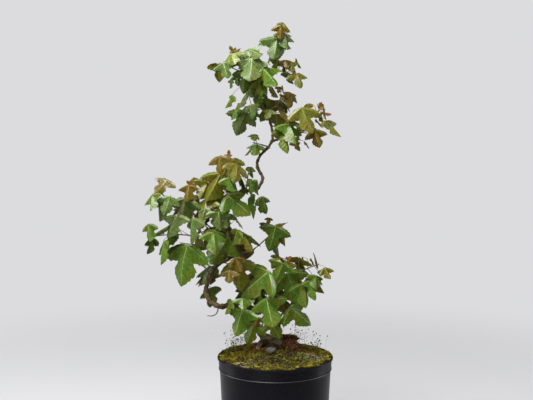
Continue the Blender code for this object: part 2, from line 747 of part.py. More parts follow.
def trunk_foot(path, collection, cutters):
    """The trunk's foot with its surface roots fused on and a flat cut at ground level."""
    below = [(path[0][0] - UP * FOOT_BELOW, path[0][1] * FOOT_FLARE)] + path
    base = tube("trunk_foot", below, LIMB_SIDES, collection)
    pieces = new_collection("roots")
    for index, root in enumerate(ROOTS):
        tube(f"root_{index}", smooth(root, CURVE_STEPS), LIMB_SIDES, pieces)
    solid = united(base, pieces, collection)
    ground = MOUND_TOP + GAP
    low = Vector((-MOUND_FOOT_RADIUS, -MOUND_FOOT_RADIUS, SOIL_TOP))
    high = Vector((MOUND_FOOT_RADIUS, MOUND_FOOT_RADIUS, ground))
    cut(solid, box_cutter("ground_cutter", low, high, cutters))
    finish(solid, BARK, 0.85)


def turned(name, profile, sides, collection):
    """Solid turned round the vertical axis from a profile of radii and heights."""
    mesh = bpy.data.meshes.new(name)
    points = [(radius * MM, 0.0, height * MM) for radius, height in profile]
    mesh.from_pydata(points, [(index, index + 1) for index in range(len(points) - 1)], [])
    solid = to_collection(bpy.data.objects.new(name, mesh), collection)
    screw = solid.modifiers.new("turn", "SCREW")
    screw.steps = sides
    screw.render_steps = sides
    screw.use_merge_vertices = True
    screw.merge_threshold = 0.00001
    screw.use_smooth_shade = True
    return solid


def wall_radius(height):
    """Outer radius of the pot's wall at a height, under its lip and bead."""
    return POT_BASE_RADIUS + (POT_WALL_TOP_RADIUS - POT_BASE_RADIUS) * height / POT_HEIGHT


def pot(collection, cutters):
    """Round tapered pot with a lip, a bead under it and drain holes round its floor."""
    inside_top = wall_radius(POT_HEIGHT) - POT_WALL
    inside_floor = wall_radius(POT_FLOOR) - POT_WALL
    lip_bottom = POT_HEIGHT - POT_LIP_DEPTH
    bead = POT_HEIGHT - POT_BEAD_DROP
    profile = (
        (0.0, POT_FLOOR),
        (inside_floor, POT_FLOOR),
        (inside_top, POT_HEIGHT - 0.6),
        (inside_top + 0.6, POT_HEIGHT),
        (POT_LIP_RADIUS - 0.7, POT_HEIGHT),
        (POT_LIP_RADIUS, POT_HEIGHT - 0.7),
        (POT_LIP_RADIUS, lip_bottom + 0.5),
        (wall_radius(lip_bottom) + 0.5, lip_bottom),
        (wall_radius(bead) + 0.4, bead + POT_BEAD),
        (wall_radius(bead) + 0.4 + POT_BEAD, bead),
        (wall_radius(bead), bead - POT_BEAD),
        (wall_radius(1.2), 1.2),
        (POT_BASE_RADIUS - 1.2, 0.0),
        (0.0, 0.0),
    )
    solid = turned("pot", profile, POT_SIDES, collection)
    for index in range(DRAIN_HOLES):
        angle = math.tau * (index + 0.5) / DRAIN_HOLES
        edit = bmesh.new()
        bmesh.ops.create_cone(edit, cap_ends=True, segments=12, radius1=DRAIN_HOLE_RADIUS * MM,
                              radius2=DRAIN_HOLE_RADIUS * MM, depth=4 * POT_FLOOR * MM)
        mesh = bpy.data.meshes.new("drain_cutter")
        edit.to_mesh(mesh)
        edit.free()
        cutter = to_collection(bpy.data.objects.new(f"drain_cutter_{index}", mesh), cutters)
        cutter.location = Vector((math.cos(angle), math.sin(angle), 0.0)) * DRAIN_RING_RADIUS * MM
        cutter.hide_render = True
        cutter.display_type = "WIRE"
        cut(solid, cutter)
    finish(solid, (0.012, 0.012, 0.013), 0.38)


def soil(collection):
    """Soil that fills the pot up to the moss."""
    bottom = POT_FLOOR + GAP
    profile = (
        (0.0, SOIL_TOP),
        (wall_radius(SOIL_TOP) - POT_WALL - GAP - 0.1, SOIL_TOP),
        (wall_radius(bottom) - POT_WALL - GAP - 0.1, bottom),
        (0.0, bottom),
    )
    finish(turned("soil", profile, POT_SIDES, collection), (0.05, 0.035, 0.025), 0.95)


def ground_height(x, y):
    """Height of the moss: a flat-topped mound that falls away to a lumpy edge."""
    off = math.hypot(x - MOUND_X, y - MOUND_Y)
    t = min(max((off - MOUND_FLAT_RADIUS) / (MOUND_FOOT_RADIUS - MOUND_FLAT_RADIUS), 0.0), 1.0)
    ease = t * t * (3 - 2 * t)
    lumps = math.sin(x * 0.21 + 1.3) * math.sin(y * 0.17 + 0.4) + 0.5 * math.sin(x * 0.09 - y * 0.26)
    return MOUND_TOP + (MOSS_EDGE_TOP - MOUND_TOP) * ease + MOSS_LUMP * lumps * min(t * 3.0, 1.0)


def moss(collection):
    """Moss cover: a disc whose top follows the ground's height."""
    bottom = SOIL_TOP + GAP
    edge = wall_radius(SOIL_TOP) - POT_WALL - GAP - 0.1
    edit = bmesh.new()
    bmesh.ops.create_circle(edit, cap_ends=True, segments=MOSS_SPOKES, radius=edge)
    lifted = bmesh.ops.extrude_face_region(edit, geom=list(edit.faces))
    top = [face for face in lifted["geom"] if isinstance(face, bmesh.types.BMFace)]
    for vert in top[0].verts:
        vert.co.z = MOSS_EDGE_TOP - bottom
    for ring_index in range(1, MOSS_RINGS):
        inner = edge * (1.0 - ring_index / MOSS_RINGS)
        bmesh.ops.inset_region(edit, faces=top, thickness=edge / MOSS_RINGS, use_even_offset=True)
        for vert in top[0].verts:
            vert.co.xy = vert.co.xy.normalized() * inner
    bmesh.ops.poke(edit, faces=top)
    for vert in edit.verts:
        if vert.co.z > 0.5:
            vert.co.z = ground_height(vert.co.x, vert.co.y) - bottom
    bmesh.ops.translate(edit, verts=edit.verts, vec=(0.0, 0.0, bottom))
    bmesh.ops.recalc_face_normals(edit, faces=edit.faces)
    bmesh.ops.scale(edit, verts=edit.verts, vec=(MM, MM, MM))
    mesh = bpy.data.meshes.new("moss")
    edit.to_mesh(mesh)
    edit.free()
    solid = to_collection(bpy.data.objects.new("moss", mesh), collection)
    finish(solid, (0.13, 0.12, 0.02), 0.95)


def lump(name, centre, radii, turn, seed, collection):
    """Rough rounded lump, flat underneath, that rests a gap above the ground below it."""
    draw = random.Random(seed)
    edit = bmesh.new()
    bmesh.ops.create_icosphere(edit, subdivisions=2, radius=1.0)
    for vert in edit.verts:
        vert.co *= draw.uniform(*LUMP_ROUGHNESS)
        vert.co.z = max(vert.co.z, LUMP_FLAT)
    size = Matrix.Diagonal((*radii, 1.0))
    bmesh.ops.transform(edit, matrix=Matrix.Rotation(math.radians(turn), 4, "Z") @ size, verts=edit.verts)
    lowest = min(vert.co.z for vert in edit.verts)
    rest = max(ground_height(centre[0] + vert.co.x, centre[1] + vert.co.y) for vert in edit.verts
               if vert.co.z < lowest + radii[2] * 0.5)
    shift = Vector((centre[0], centre[1], rest + GAP - lowest))
    bmesh.ops.translate(edit, verts=edit.verts, vec=shift)
    bmesh.ops.scale(edit, verts=edit.verts, vec=(MM, MM, MM))
    mesh = bpy.data.meshes.new(name)
    edit.to_mesh(mesh)
    edit.free()
    return to_collection(bpy.data.objects.new(name, mesh), collection)


def main():
    """Builds the whole potted tree."""
    for obj in list(bpy.data.objects):
        bpy.data.objects.remove(obj)
    collection = new_collection("potted_trident_maple")
    cutters = new_collection("cutters")
    pot(collection, cutters)
    soil(collection)
    moss(collection)
    for name, place, radii, turn, seed, colour in LUMPS:
        finish(lump(name, place, radii, turn, seed, collection), colour, 0.9)
    paths, stems, leaves = grow_tree()
    trunk_foot(paths["trunk_foot"], collection, cutters)
    for name in ("trunk_lower", "trunk_upper"):
        finish(tube(name, paths[name], LIMB_SIDES, collection), BARK, 0.85)
    finish(tube("leader", paths["leader"], LIMB_SIDES, collection), YOUNG_BARK, 0.6)
    for bough in BOUGHS:
        colour = DEAD_WOOD if bough.name == "dead_twig" else BARK
        finish(tube(bough.name, paths[bough.name], BOUGH_SIDES, collection), colour, 0.8)
    for mass in MASSES:
        foliage(mass, stems[mass.name], leaves[mass.name], collection)


main()
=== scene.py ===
"""Dressed model of a potted trident maple: a young tree with a winding trunk in a nursery pot.

The frame is in metres with its origin in the middle of the pot's underside, +Z up and -Y to the
front. The plant's own sizes are in millimetres, as in the part's source, and are scaled as each
mesh is made. The growing rule is the source's rule, so every leaf hangs where its solid does.
"""
import logging
from collections.abc import Callable, Iterable, Sequence
from dataclasses import dataclass, field
from enum import Enum
from functools import lru_cache
from math import cos, dist, exp, hypot, inf, pi, radians, sin, sqrt, tau
from random import Random
from typing import NamedTuple

import bmesh
import bpy
import numpy as np
from mathutils import Matrix, Vector, geometry
from mathutils.bvhtree import BVHTree
from mathutils.noise import noise


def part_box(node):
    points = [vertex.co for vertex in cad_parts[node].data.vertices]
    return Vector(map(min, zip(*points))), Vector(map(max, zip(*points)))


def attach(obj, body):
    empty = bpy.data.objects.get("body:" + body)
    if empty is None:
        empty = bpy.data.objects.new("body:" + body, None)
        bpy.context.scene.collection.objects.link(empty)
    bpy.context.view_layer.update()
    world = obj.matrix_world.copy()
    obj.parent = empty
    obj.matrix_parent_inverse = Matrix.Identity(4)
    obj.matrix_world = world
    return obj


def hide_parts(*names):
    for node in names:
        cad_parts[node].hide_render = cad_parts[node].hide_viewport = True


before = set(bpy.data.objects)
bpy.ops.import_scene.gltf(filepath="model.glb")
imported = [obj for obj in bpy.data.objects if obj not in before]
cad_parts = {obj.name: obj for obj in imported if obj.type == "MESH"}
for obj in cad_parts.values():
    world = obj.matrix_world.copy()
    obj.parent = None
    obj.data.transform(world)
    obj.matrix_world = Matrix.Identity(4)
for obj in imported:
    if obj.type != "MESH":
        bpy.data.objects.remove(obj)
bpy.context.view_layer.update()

LOG = logging.getLogger("potted_trident_maple")
MM = 0.001
UP = Vector((0, 0, 1))
GAP = 0.3
BODY = "root"

Colour = tuple[float, float, float]
Object = bpy.types.Object
Material = bpy.types.Material
Mesh = bpy.types.Mesh
Socket = bpy.types.NodeSocket
Faces = list[tuple[int, ...]]
Rows = tuple[tuple[float, ...], ...]
Row = tuple[Vector, float]  # A place on a limb, and its radius there.
Path = list[Row]
Place = tuple[float, float, float]
Bend = tuple[float, float, float, float]  # A place that a limb passes through, and its radius there.
Span = tuple[float, float]  # The least and the greatest value, or a point of the flat leaf.

# Pot and ground, as in the part's source.
POT_HEIGHT = 130
POT_LIP_RADIUS = 75
POT_LIP_DEPTH = 3.2
POT_WALL_TOP_RADIUS = 73
POT_BASE_RADIUS = 66.5
POT_WALL = 1.5
POT_FLOOR = 2.2
POT_BEAD_DROP = 15.6
POT_BEAD = 0.8
POT_SIDES = 40
SOIL_TOP = 121
MOSS_EDGE_TOP = 129
MOUND_TOP = 141.5
MOUND_X = 0
MOUND_Y = 3
MOUND_FLAT_RADIUS = 25
MOUND_FOOT_RADIUS = 58
MOUND_SHOULDER = 8
HEAP_X = 16
HEAP_Y = 25
HEAP_FOOT_RADIUS = 17.5
HEAP_TOP_RADIUS = 9
HEAP_TOP = 161.5
MOSS_LUMP = 1.6

# Limbs and leaves, as in the part's source.
LIMB_SIDES = 8
CURVE_STEPS = 4
SEAT_STEP = 0.05
SEAT_LIMIT = 12
LEAF_HALF = ((0.36, -0.03), (0.7, 0.2), (0.27, 0.38), (0.29, 0.66))
LEAF_VEIN = 0.42
LEAF_THICKNESS = 0.7
LEAF_SINK = 1.3
PETIOLE_RADIUS = 0.6
PETIOLE_CLEAR = 0.4
STEM_ROOT_RADIUS = 1.1
STEM_TIP_RADIUS = 0.7
STEM_POINTS = 6
STEM_KNEE = 0.4
STEM_SIDES = 4
FIRST_PAIR_AT = 0.32
LAST_PAIR_AT = 0.94
TUFT_AT = 0.98
TUFT_AGE = 1.5
TIP_LEAF_SHRINK = 0.4
TIP_PETIOLE_SHRINK = 0.3
YOUNG_LEAF_SIZE = 0.34
YOUNG_PETIOLE_SIZE = 0.3
LEAF_SPREAD = (0.84, 1.14)
PETIOLE_SPREAD = (0.6, 1.35)
PETIOLE_FORWARD = (0.2, 0.7)
PETIOLE_RISE = (0.05, 0.5)
HANG = (38, 82)
YOUNG_HANG = (-10, 45)
DROOP = (0.04, 0.2)
FOLD = (0, 0.22)
YOUNG_FOLD = (0.25, 0.5)
TO_SIDE = 0.7
TO_LIGHT = 0.9
TO_TIP = 0.3
HEADING_TURN = 40
BLADE_ROLL = 28
BLADE_TWIST = 25
PAIR_TWIST = 0.45
TRIES = 7
SWING = 16


class Draw(Random):
    """A source of random numbers, from a seed of its own."""

    def __call__(self, low: float, high: float) -> float:
        """Returns a number from low to high."""
        return self.uniform(low, high)


class Limb(NamedTuple):
    """A bough or twig: what it grows from, and its bends from there to its tip."""

    name: str
    host: str
    bends: tuple[Bend, ...]


class Mass(NamedTuple):
    """A mass of foliage: a stem that leaves its host at a share of its length and bears pairs of leaves.

    Arch lifts the stem. The blades turn to facing, an angle from the front, and stay within room of
    the stem. Tuft is 1 where the tip bears a folded young pair.
    """

    part: str
    name: str
    host: str
    share: float
    reach: Place
    arch: float
    pairs: int
    leaf: float
    petiole: float
    facing: float
    room: float
    tuft: int
    bronze: float
    seed: int
    tint: str


class Leaf(NamedTuple):
    """A leaf: where its petiole starts and ends, how its blade lies and how old it is."""

    node: Vector
    base: Vector
    midrib: Vector
    face: Vector
    length: float
    droop: float
    fold: float
    age: float


TRUNK = (
    (-5, 2, 142, 7), (-17, 0, 158, 5), (-38, -5, 187, 3.7), (-51, -9, 200, 3.4),
    (-70, -13, 197, 3.3), (-86, -14, 207, 3.3), (-88, -10, 226, 3.1), (-76, -2, 249, 3),
    (-51, 6, 264, 2.9), (-57, 11, 288, 2.7), (-65, 13, 311, 2.6), (-47, 9, 341, 3),
    (-25, 3, 346, 2.1), (-16, -1, 361, 2), (-24, 0, 381, 1.9), (-6, 5, 406, 1.8),
    (-4, 3, 423, 1.6), (-18, -1, 466, 1.4), (-17, -2, 482, 1.2), (-6, 1, 518, 0.9),
)
TRUNK_PARTS = (
    ("trunk_foot", 0, 5),
    ("trunk_lower", 5, 11),
    ("trunk_upper", 11, 18),
    ("leader", 18, 19),
)
ROOTS = (
    ((-13, 0, 154, 5.6), (-1, -4, 151, 5), (8, -8, 147, 3.8), (10, -11, 141, 2.6)),
    ((-12, 1, 150, 5), (-20, -7, 146, 4), (-23, -13, 141, 2.4)),
    ((-9, 4, 150, 5), (-8, 14, 146, 4.2), (-5, 22, 141, 2.6)),
)
BOUGHS = (
    Limb("bough_left", "trunk_lower",
         ((-57, 10, 283, 1.7), (-74, 4, 277, 1.5), (-89, -4, 282, 1.3))),
    Limb("bough_right", "trunk_foot",
         ((-39, -5, 190, 2.1), (-28, 2, 205, 1.9), (-12, 0, 218, 1.6), (0, -4, 224, 1.3))),
    Limb("bough_right_low", "",
         ((8, 9, MOUND_TOP + GAP, 2.2), (8, 9, 152, 1.8), (6, 4, 177, 1.5),
          (20, 2, 196, 1.3), (33, 0, 214, 1))),
    Limb("bough_upper_right", "trunk_upper",
         ((-3, 4, 409, 1.2), (11, 0, 413, 1.1), (27, -6, 424, 0.9))),
    Limb("bough_middle_right", "trunk_lower",
         ((-50, 6, 264, 1.2), (-33, 0, 266, 1.1), (-21, -4, 275, 0.9))),
    Limb("dead_twig", "trunk_foot",
         ((-73, -13, 197, 0.8), (-75, -16, 189, 0.7), (-81, -17, 186, 0.6),
          (-87, -17, 186, 0.5))),
)
# The last column names a spray's tint; the grey tint is paler and partly paints the sheen on upper leaves.
CROWN = {
    "top": (
        ("top", "leader", 1, (13, -5, 35), 0, 3, 34, 12, 0, 36, 1, 0.5, 57, "GREY"),
        ("upper_left_high", "leader", 0.12, (-34, -8, 29), 4, 3, 40, 20, -20, 46, 1, 0.3, 16, "GREY"),
        ("upper_left_far", "trunk_upper", 0.97, (-48, -6, 24), 4, 2, 36, 18, -50, 42, 0, 0.4, 45, "GREY"),
        ("upper_front", "leader", 0.07, (-8, -24, 12), 2, 1, 46, 8, -5, 50, 0, 0, 46, "MID"),
        ("upper_left_low", "trunk_upper", 0.9, (-25, 11, 11), 3, 2, 28, 26, -50, 48, 0, 0.1, 121, ""),
        ("upper_right", "leader", 0.43, (29, 11, -6), 3, 2, 34, 18, 50, 44, 0, 0.4, 107, ""),
        ("upper_centre", "trunk_upper", 0.93, (4, -15, -1), 2, 2, 24, 10, 20, 34, 0, 0.2, 47, ""),
        ("upper_back", "trunk_upper", 0.87, (-9, 34, 23), 2, 2, 32, 14, 180, 42, 0, 0.2, 124, "BRONZE"),
    ),
    "upper": (
        ("centre_left", "trunk_upper", 0.83, (-23, -16, -7), 3, 2, 34, 18, -20, 46, 0, 0.1, 37, "GREY"),
        ("centre_back", "trunk_upper", 0.72, (11, 36, 11), 2, 2, 34, 14, 160, 44, 0, 0.3, 121, "OLIVE"),
        ("right_high", "trunk_upper", 0.75, (28, 15, 21), 2, 2, 34, 14, 20, 42, 0, 0.1, 95, "BRONZE"),
        ("right_tip", "bough_upper_right", 1, (28, 0, 23), 4, 3, 36, 20, 40, 46, 1, 0.7, 40, "OLIVE"),
        ("right_under", "bough_upper_right", 0.74, (19, 7, 0), 2, 1, 32, 22, 50, 50, 0, 0.5, 32, "BRONZE"),
        ("right_near", "trunk_upper", 0.65, (17, -29, -1), 2, 2, 48, 10, 5, 52, 0, 0.1, 62, "MID"),
        ("bend_leaves", "trunk_upper", 0.49, (-18, 2, 5), 1, 2, 20, 14, -10, 28, 0, 0.2, 56, ""),
    ),
    "shoulder": (
        ("shoulder", "trunk_lower", 0.97, (-12, -16, 47), 0, 3, 38, 18, -25, 46, 1, 0.3, 100, "OLIVE"),
        ("shoulder_front", "trunk_lower", 0.93, (-10, -35, 31), 0, 2, 38, 12, -5, 46, 0, 0.1, 14, "MID"),
        ("shoulder_right", "trunk_upper", 0.04, (3, -4, 24), 1, 2, 30, 14, 40, 40, 0, 0, 76, ""),
        ("shoulder_back", "trunk_lower", 0.89, (-12, 32, 15), 1, 3, 34, 14, 170, 44, 0, 0.2, 125, "OLIVE"),
        ("knot_hanging", "trunk_upper", 0.07, (2, -18, -9), 4, 1, 42, 8, 25, 48, 0, 0.2, 198, "DARK"),
    ),
    "left": (
        ("left_large", "bough_left", 0.62, (-41, -32, 4), -5, 1, 74, 8, -10, 84, 0, 0, 285, "MID"),
        ("left_high", "trunk_lower", 0.8, (-42, -1, 34), 0, 3, 34, 16, -25, 44, 1, 0.6, 128, "OLIVE"),
        ("left_far_high", "bough_left", 0.72, (-66, -15, 67), -4, 4, 38, 20, -35, 50, 1, 0.3, 30, "GREY"),
        ("left_far_low", "bough_left", 1, (-71, -8, 5), 3, 3, 38, 18, -40, 48, 0, 0.2, 82, "MID"),
        ("left_near", "bough_left", 0.34, (-40, 16, 36), 0, 2, 28, 16, -40, 40, 1, 0.3, 20, ""),
        ("left_back", "bough_left", 0.22, (-55, 36, 42), 2, 2, 34, 16, -150, 44, 0, 0.3, 102, "BRONZE"),
        ("left_low", "trunk_lower", 0.19, (-21, 23, 15), 3, 2, 32, 22, -50, 46, 0, 0.1, 134, ""),
    ),
    "middle": (
        ("middle_high", "trunk_lower", 0.76, (-6, -39, 14), 3, 2, 44, 12, 0, 48, 0, 0.1, 58, "GREY"),
        ("middle", "trunk_lower", 0.6, (-18, -44, 14), 3, 2, 46, 12, 0, 50, 0, 0, 62, "MID"),
        ("middle_back", "trunk_lower", 0.63, (-13, 33, -19), 2, 2, 36, 14, 180, 46, 0, 0.2, 129, "BRONZE"),
        ("middle_right", "trunk_lower", 0.5, (7, -31, 20), 2, 2, 40, 12, 10, 46, 0, 0, 14, ""),
        ("middle_right_tip", "bough_middle_right", 1, (26, 10, 20), 2, 3, 36, 16, 30, 46, 0, 0.4, 38, "DARK"),
        ("middle_low", "trunk_lower", 0.32, (13, -27, -1), 2, 2, 36, 14, -5, 44, 0, 0.5, 65, "OLIVE"),
    ),
    "right": (
        ("right_inner", "bough_right", 0.38, (-8, 12, 23), 2, 2, 36, 14, -15, 44, 0, 0.3, 49, "MID"),
        ("right_front", "bough_right", 0.82, (18, -27, 37), 2, 2, 48, 14, 0, 58, 1, 0, 93, "MID"),
        ("right_far", "bough_right", 1, (56, 10, 25), 6, 4, 34, 18, 70, 46, 0, 0.3, 116, "OLIVE"),
        ("right_back", "bough_right", 0.63, (13, 43, 5), 2, 2, 36, 14, 170, 46, 0, 0.2, 51, "BRONZE"),
        ("right_low_front", "bough_right", 0.74, (3, -32, -4), 2, 1, 50, 8, 0, 52, 0, 0.1, 129, "MID"),
        ("right_low", "bough_right_low", 0.67, (1, -22, 6), 1, 1, 48, 6, 15, 54, 0, 0, 111, "MID"),
        ("right_low_tip", "bough_right_low", 1, (6, -6, 17), -3, 3, 36, 16, 40, 46, 0, 0.1, 57, "MID"),
    ),
    "low": (
        ("low_left", "trunk_foot", 0.49, (-10, -25, 15), 2, 2, 34, 14, -20, 42, 0, 0.1, 170, "MID"),
        ("low_back", "trunk_foot", 0.45, (2, 44, 23), 2, 2, 34, 14, 170, 44, 0, 0.2, 111, "DARK"),
        ("basal", "trunk_foot", 0.18, (1, -14, 24), 1, 2, 28, 14, 0, 38, 0, 0.4, 93, "FRESH"),
        ("behind_bend", "trunk_lower", 0.08, (-3, 42, 4), 2, 2, 30, 14, -120, 38, 0, 0.3, 4, ""),
    ),
}
MASSES = [Mass(part, *row) for part, rows in CROWN.items() for row in rows]


def polar(radius: float, angle: float, height: float = 0) -> Vector:
    """Returns the point at a radius and an angle about the upright axis."""
    return Vector((cos(angle) * radius, sin(angle) * radius, height))


def between(first: Row, second: Row, share: float) -> Row:
    """Returns the place and radius at a share of the way from one row to the next."""
    return first[0].lerp(second[0], share), first[1] + (second[1] - first[1]) * share


def lengths_of(path: Path) -> list[float]:
    """Returns the lengths of a path's steps."""
    return [(second[0] - first[0]).length for first, second in zip(path, path[1:])]


def directions(path: Path) -> list[Vector]:
    """Returns a path's direction at each of its rows."""
    steps = zip(path[:1] + path, path[1:] + path[-1:])
    return [(after[0] - before[0]).normalized() for before, after in steps]


def hoop_faces(rows: int, sides: int) -> Faces:
    """Returns the faces between closed rings of points, one ring after the other."""
    edges = [fan(row * sides, sides, 0) for row in range(rows - 1)]
    return [(a, b, b + sides, a + sides) for edge in edges for a, b, _ in edge]


def fan(first: int, sides: int, tip: int) -> Faces:
    """Returns the faces from a closed ring of points to a tip."""
    return [(first + side, first + (side + 1) % sides, tip) for side in range(sides)]


def smooth(bends: Sequence[Bend]) -> Path:
    """Draws a curve through bends.

    Args:
        bends: The bends.

    Returns:
        The path.
    """
    rows = [Vector(bend) for bend in bends]
    path = []
    for before, start, end, after in zip(rows[:1] + rows, rows, rows[1:], rows[2:] + rows[-1:]):
        for step in range(CURVE_STEPS):
            t = step / CURVE_STEPS
            path.append(0.5 * (2 * start + (end - before) * t
                               + (2 * before - 5 * start + 4 * end - after) * t * t
                               + (3 * start - before - 3 * end + after) * t ** 3))
    return [(row.xyz, row.w) for row in path + rows[-1:]]


def place_at(path: Path, share: float) -> tuple[Vector, float, Vector]:
    """Finds a point along a path.

    Args:
        path: The path.
        share: Share of its length.

    Returns:
        Place, radius and direction there.
    """
    lengths = lengths_of(path)
    left = share * sum(lengths)
    index = 0
    while left > lengths[index] and index < len(lengths) - 1:
        left -= lengths[index]
        index += 1
    first, second = path[index:index + 2]
    return *between(first, second, min(left / lengths[index], 1)), (second[0] - first[0]).normalized()


def trimmed(path: Path, start_cut: float, end_cut: float = 0) -> Path:
    """Shortens a path.

    Args:
        path: The path.
        start_cut: Cut off its start.
        end_cut: Cut off its end.

    Returns:
        The shorter path.
    """
    for left in (end_cut, start_cut):
        path = path[::-1]
        while left > 0:
            length = (path[1][0] - path[0][0]).length
            if length > left:
                path[0] = between(path[0], path[1], left / length)
                break
            left -= length
            path.pop(0)
    return path


def distance_outside(point: Vector, path: Path) -> float:
    """Measures from a point to a limb's surface.

    Args:
        point: The point.
        path: The limb's path.

    Returns:
        The distance, negative inside.
    """
    nearest = inf
    for first, second in zip(path, path[1:]):
        along = second[0] - first[0]
        t = min(max((point - first[0]).dot(along) / along.length_squared, 0), 1)
        middle, radius = between(first, second, t)
        nearest = min(nearest, (point - middle).length - radius)
    return nearest


def ring(centre: Vector, direction: Vector, radius: float, sides: int) -> list[Vector]:
    """Returns points round a centre, square to a direction."""
    turn = direction.to_track_quat("Z", "Y")
    return [centre + turn @ polar(1, tau * side / sides) * radius for side in range(sides)]


def seated(path: Path, host: Path) -> Path:
    """Shortens a limb until it starts clear of its host.

    Args:
        path: The limb's path.
        host: Its host's path.

    Returns:
        The path that is clear.
    """
    for step in range(round(SEAT_LIMIT / SEAT_STEP)):
        rest = trimmed(path, step * SEAT_STEP)
        rim = ring(rest[0][0], (rest[1][0] - rest[0][0]).normalized(), rest[0][1], LIMB_SIDES)
        if min(distance_outside(point, host) for point in rim) >= GAP:
            return rest
    raise ValueError("a limb never leaves its host")


def split_trunk() -> dict[str, Path]:
    """Cuts the trunk into its parts.

    Returns:
        Their paths by name.
    """
    whole = smooth(TRUNK)
    paths = {}
    for name, first, last in TRUNK_PARTS:
        path = whole[first * CURVE_STEPS:last * CURVE_STEPS + 2]
        lengths = lengths_of(path)
        start_cut = (lengths[0] + GAP) / 2 if first > 0 else 0
        end_cut = (lengths[-1] + GAP) / 2 if last < len(TRUNK) - 1 else 0
        paths[name] = trimmed(path, start_cut, end_cut)
    return paths


def stem_of(mass: Mass, paths: dict[str, Path]) -> Path:
    """Draws a mass's stem from its host to its tip.

    Args:
        mass: The mass.
        paths: The limbs' paths by name.

    Returns:
        The stem's path.
    """
    host = paths[mass.host]
    root, host_radius, heading = place_at(host, mass.share)
    tip = root + Vector(mass.reach)
    on_end = mass.share >= 1
    if on_end:
        root = root + heading * GAP
    else:
        heading = (tip - root).normalized()
    knee = root + heading * (tip - root).length * STEM_KNEE + UP * mass.arch
    path = []
    for index in range(STEM_POINTS):
        t = index / (STEM_POINTS - 1)
        point = root * (1 - t) ** 2 + knee * 2 * t * (1 - t) + tip * t * t
        path.append((point, STEM_ROOT_RADIUS + (STEM_TIP_RADIUS - STEM_ROOT_RADIUS) * t))
    if on_end:
        return [(path[0][0], min(STEM_ROOT_RADIUS, host_radius))] + path[1:]
    return seated(path, host)


class Shell:
    """A closed test surface round a piece, with its box."""

    def __init__(self, points: list[Vector], faces: Faces) -> None:
        """Makes the surface of some points and the faces between them."""
        self.tree = BVHTree.FromPolygons(points, faces)
        self.low, self.high = [[pick(axis) for axis in zip(*points)] for pick in (min, max)]

    def meets(self, others: Iterable["Shell"]) -> bool:
        """Returns True where the surface touches one of some others."""
        return any(all(a <= d and c <= b for a, b, c, d in zip(self.low, self.high, other.low, other.high))
                   and bool(self.tree.overlap(other.tree)) for other in others)


def tube_shell(path: Path, extra: float = 0, sides: int = STEM_SIDES) -> Shell:
    """Returns the test surface round a limb, stem or petiole, with a margin."""
    points = [point for (centre, radius), along in zip(path, directions(path))
              for point in ring(centre, along, (radius + extra) / cos(pi / sides), sides)]
    return Shell(points, hoop_faces(len(path), sides)
                 + [tuple(range(first, first + sides)) for first in (0, len(points) - sides)])


def blade_points(leaf: Leaf, scale: float = 1) -> list[Vector]:
    """Places a blade's plain outline.

    Args:
        leaf: The leaf.
        scale: Its size against the blade.

    Returns:
        The outline, then the point on the vein.
    """
    across = leaf.midrib.cross(leaf.face)
    left = [(-x, y) for x, y in reversed(LEAF_HALF)]
    points = []
    for x, y in [(0, 0), *LEAF_HALF, (0, 1), *left, (0, LEAF_VEIN)]:
        x, y = x * scale, LEAF_VEIN + (y - LEAF_VEIN) * scale
        sag = leaf.droop * y * y + leaf.fold * abs(x)
        points.append(leaf.base + (across * x + leaf.midrib * y - leaf.face * sag) * leaf.length)
    return points


def blade_shell(leaf: Leaf, margin: float = 0) -> Shell:
    """Makes the test surface round a blade.

    Args:
        leaf: The leaf.
        margin: Margin round it.

    Returns:
        The test surface.
    """
    middle = blade_points(leaf, 1 + margin / leaf.length)
    offset = leaf.face * (LEAF_THICKNESS / 2 + margin)
    count, rim = len(middle), len(middle) - 1
    upper = fan(0, rim, rim)
    under = [tuple(index + count for index in reversed(face)) for face in upper]
    sides = [(a, a + count, b + count, b) for a, b, _ in upper]
    return Shell([point + side for side in (offset, -offset) for point in middle], upper + under + sides)


def level(vector: Vector) -> Vector:
    """Returns the vector without its height."""
    return Vector((vector.x, vector.y, 0))


def facing_of(degrees: float) -> Vector:
    """Returns the level direction at an angle from the front to the right."""
    return polar(1, radians(degrees - 90))


def rotation(degrees: float, axis: Vector | str) -> Matrix:
    """Returns the turn by an angle about an axis."""
    return Matrix.Rotation(radians(degrees), 3, axis)


def spoke_of(axis: Vector, angle: float) -> Vector:
    """Returns the direction at an angle round an axis, from the level."""
    across = axis.cross(UP).normalized()
    return across * cos(angle) + axis.cross(across) * sin(angle)


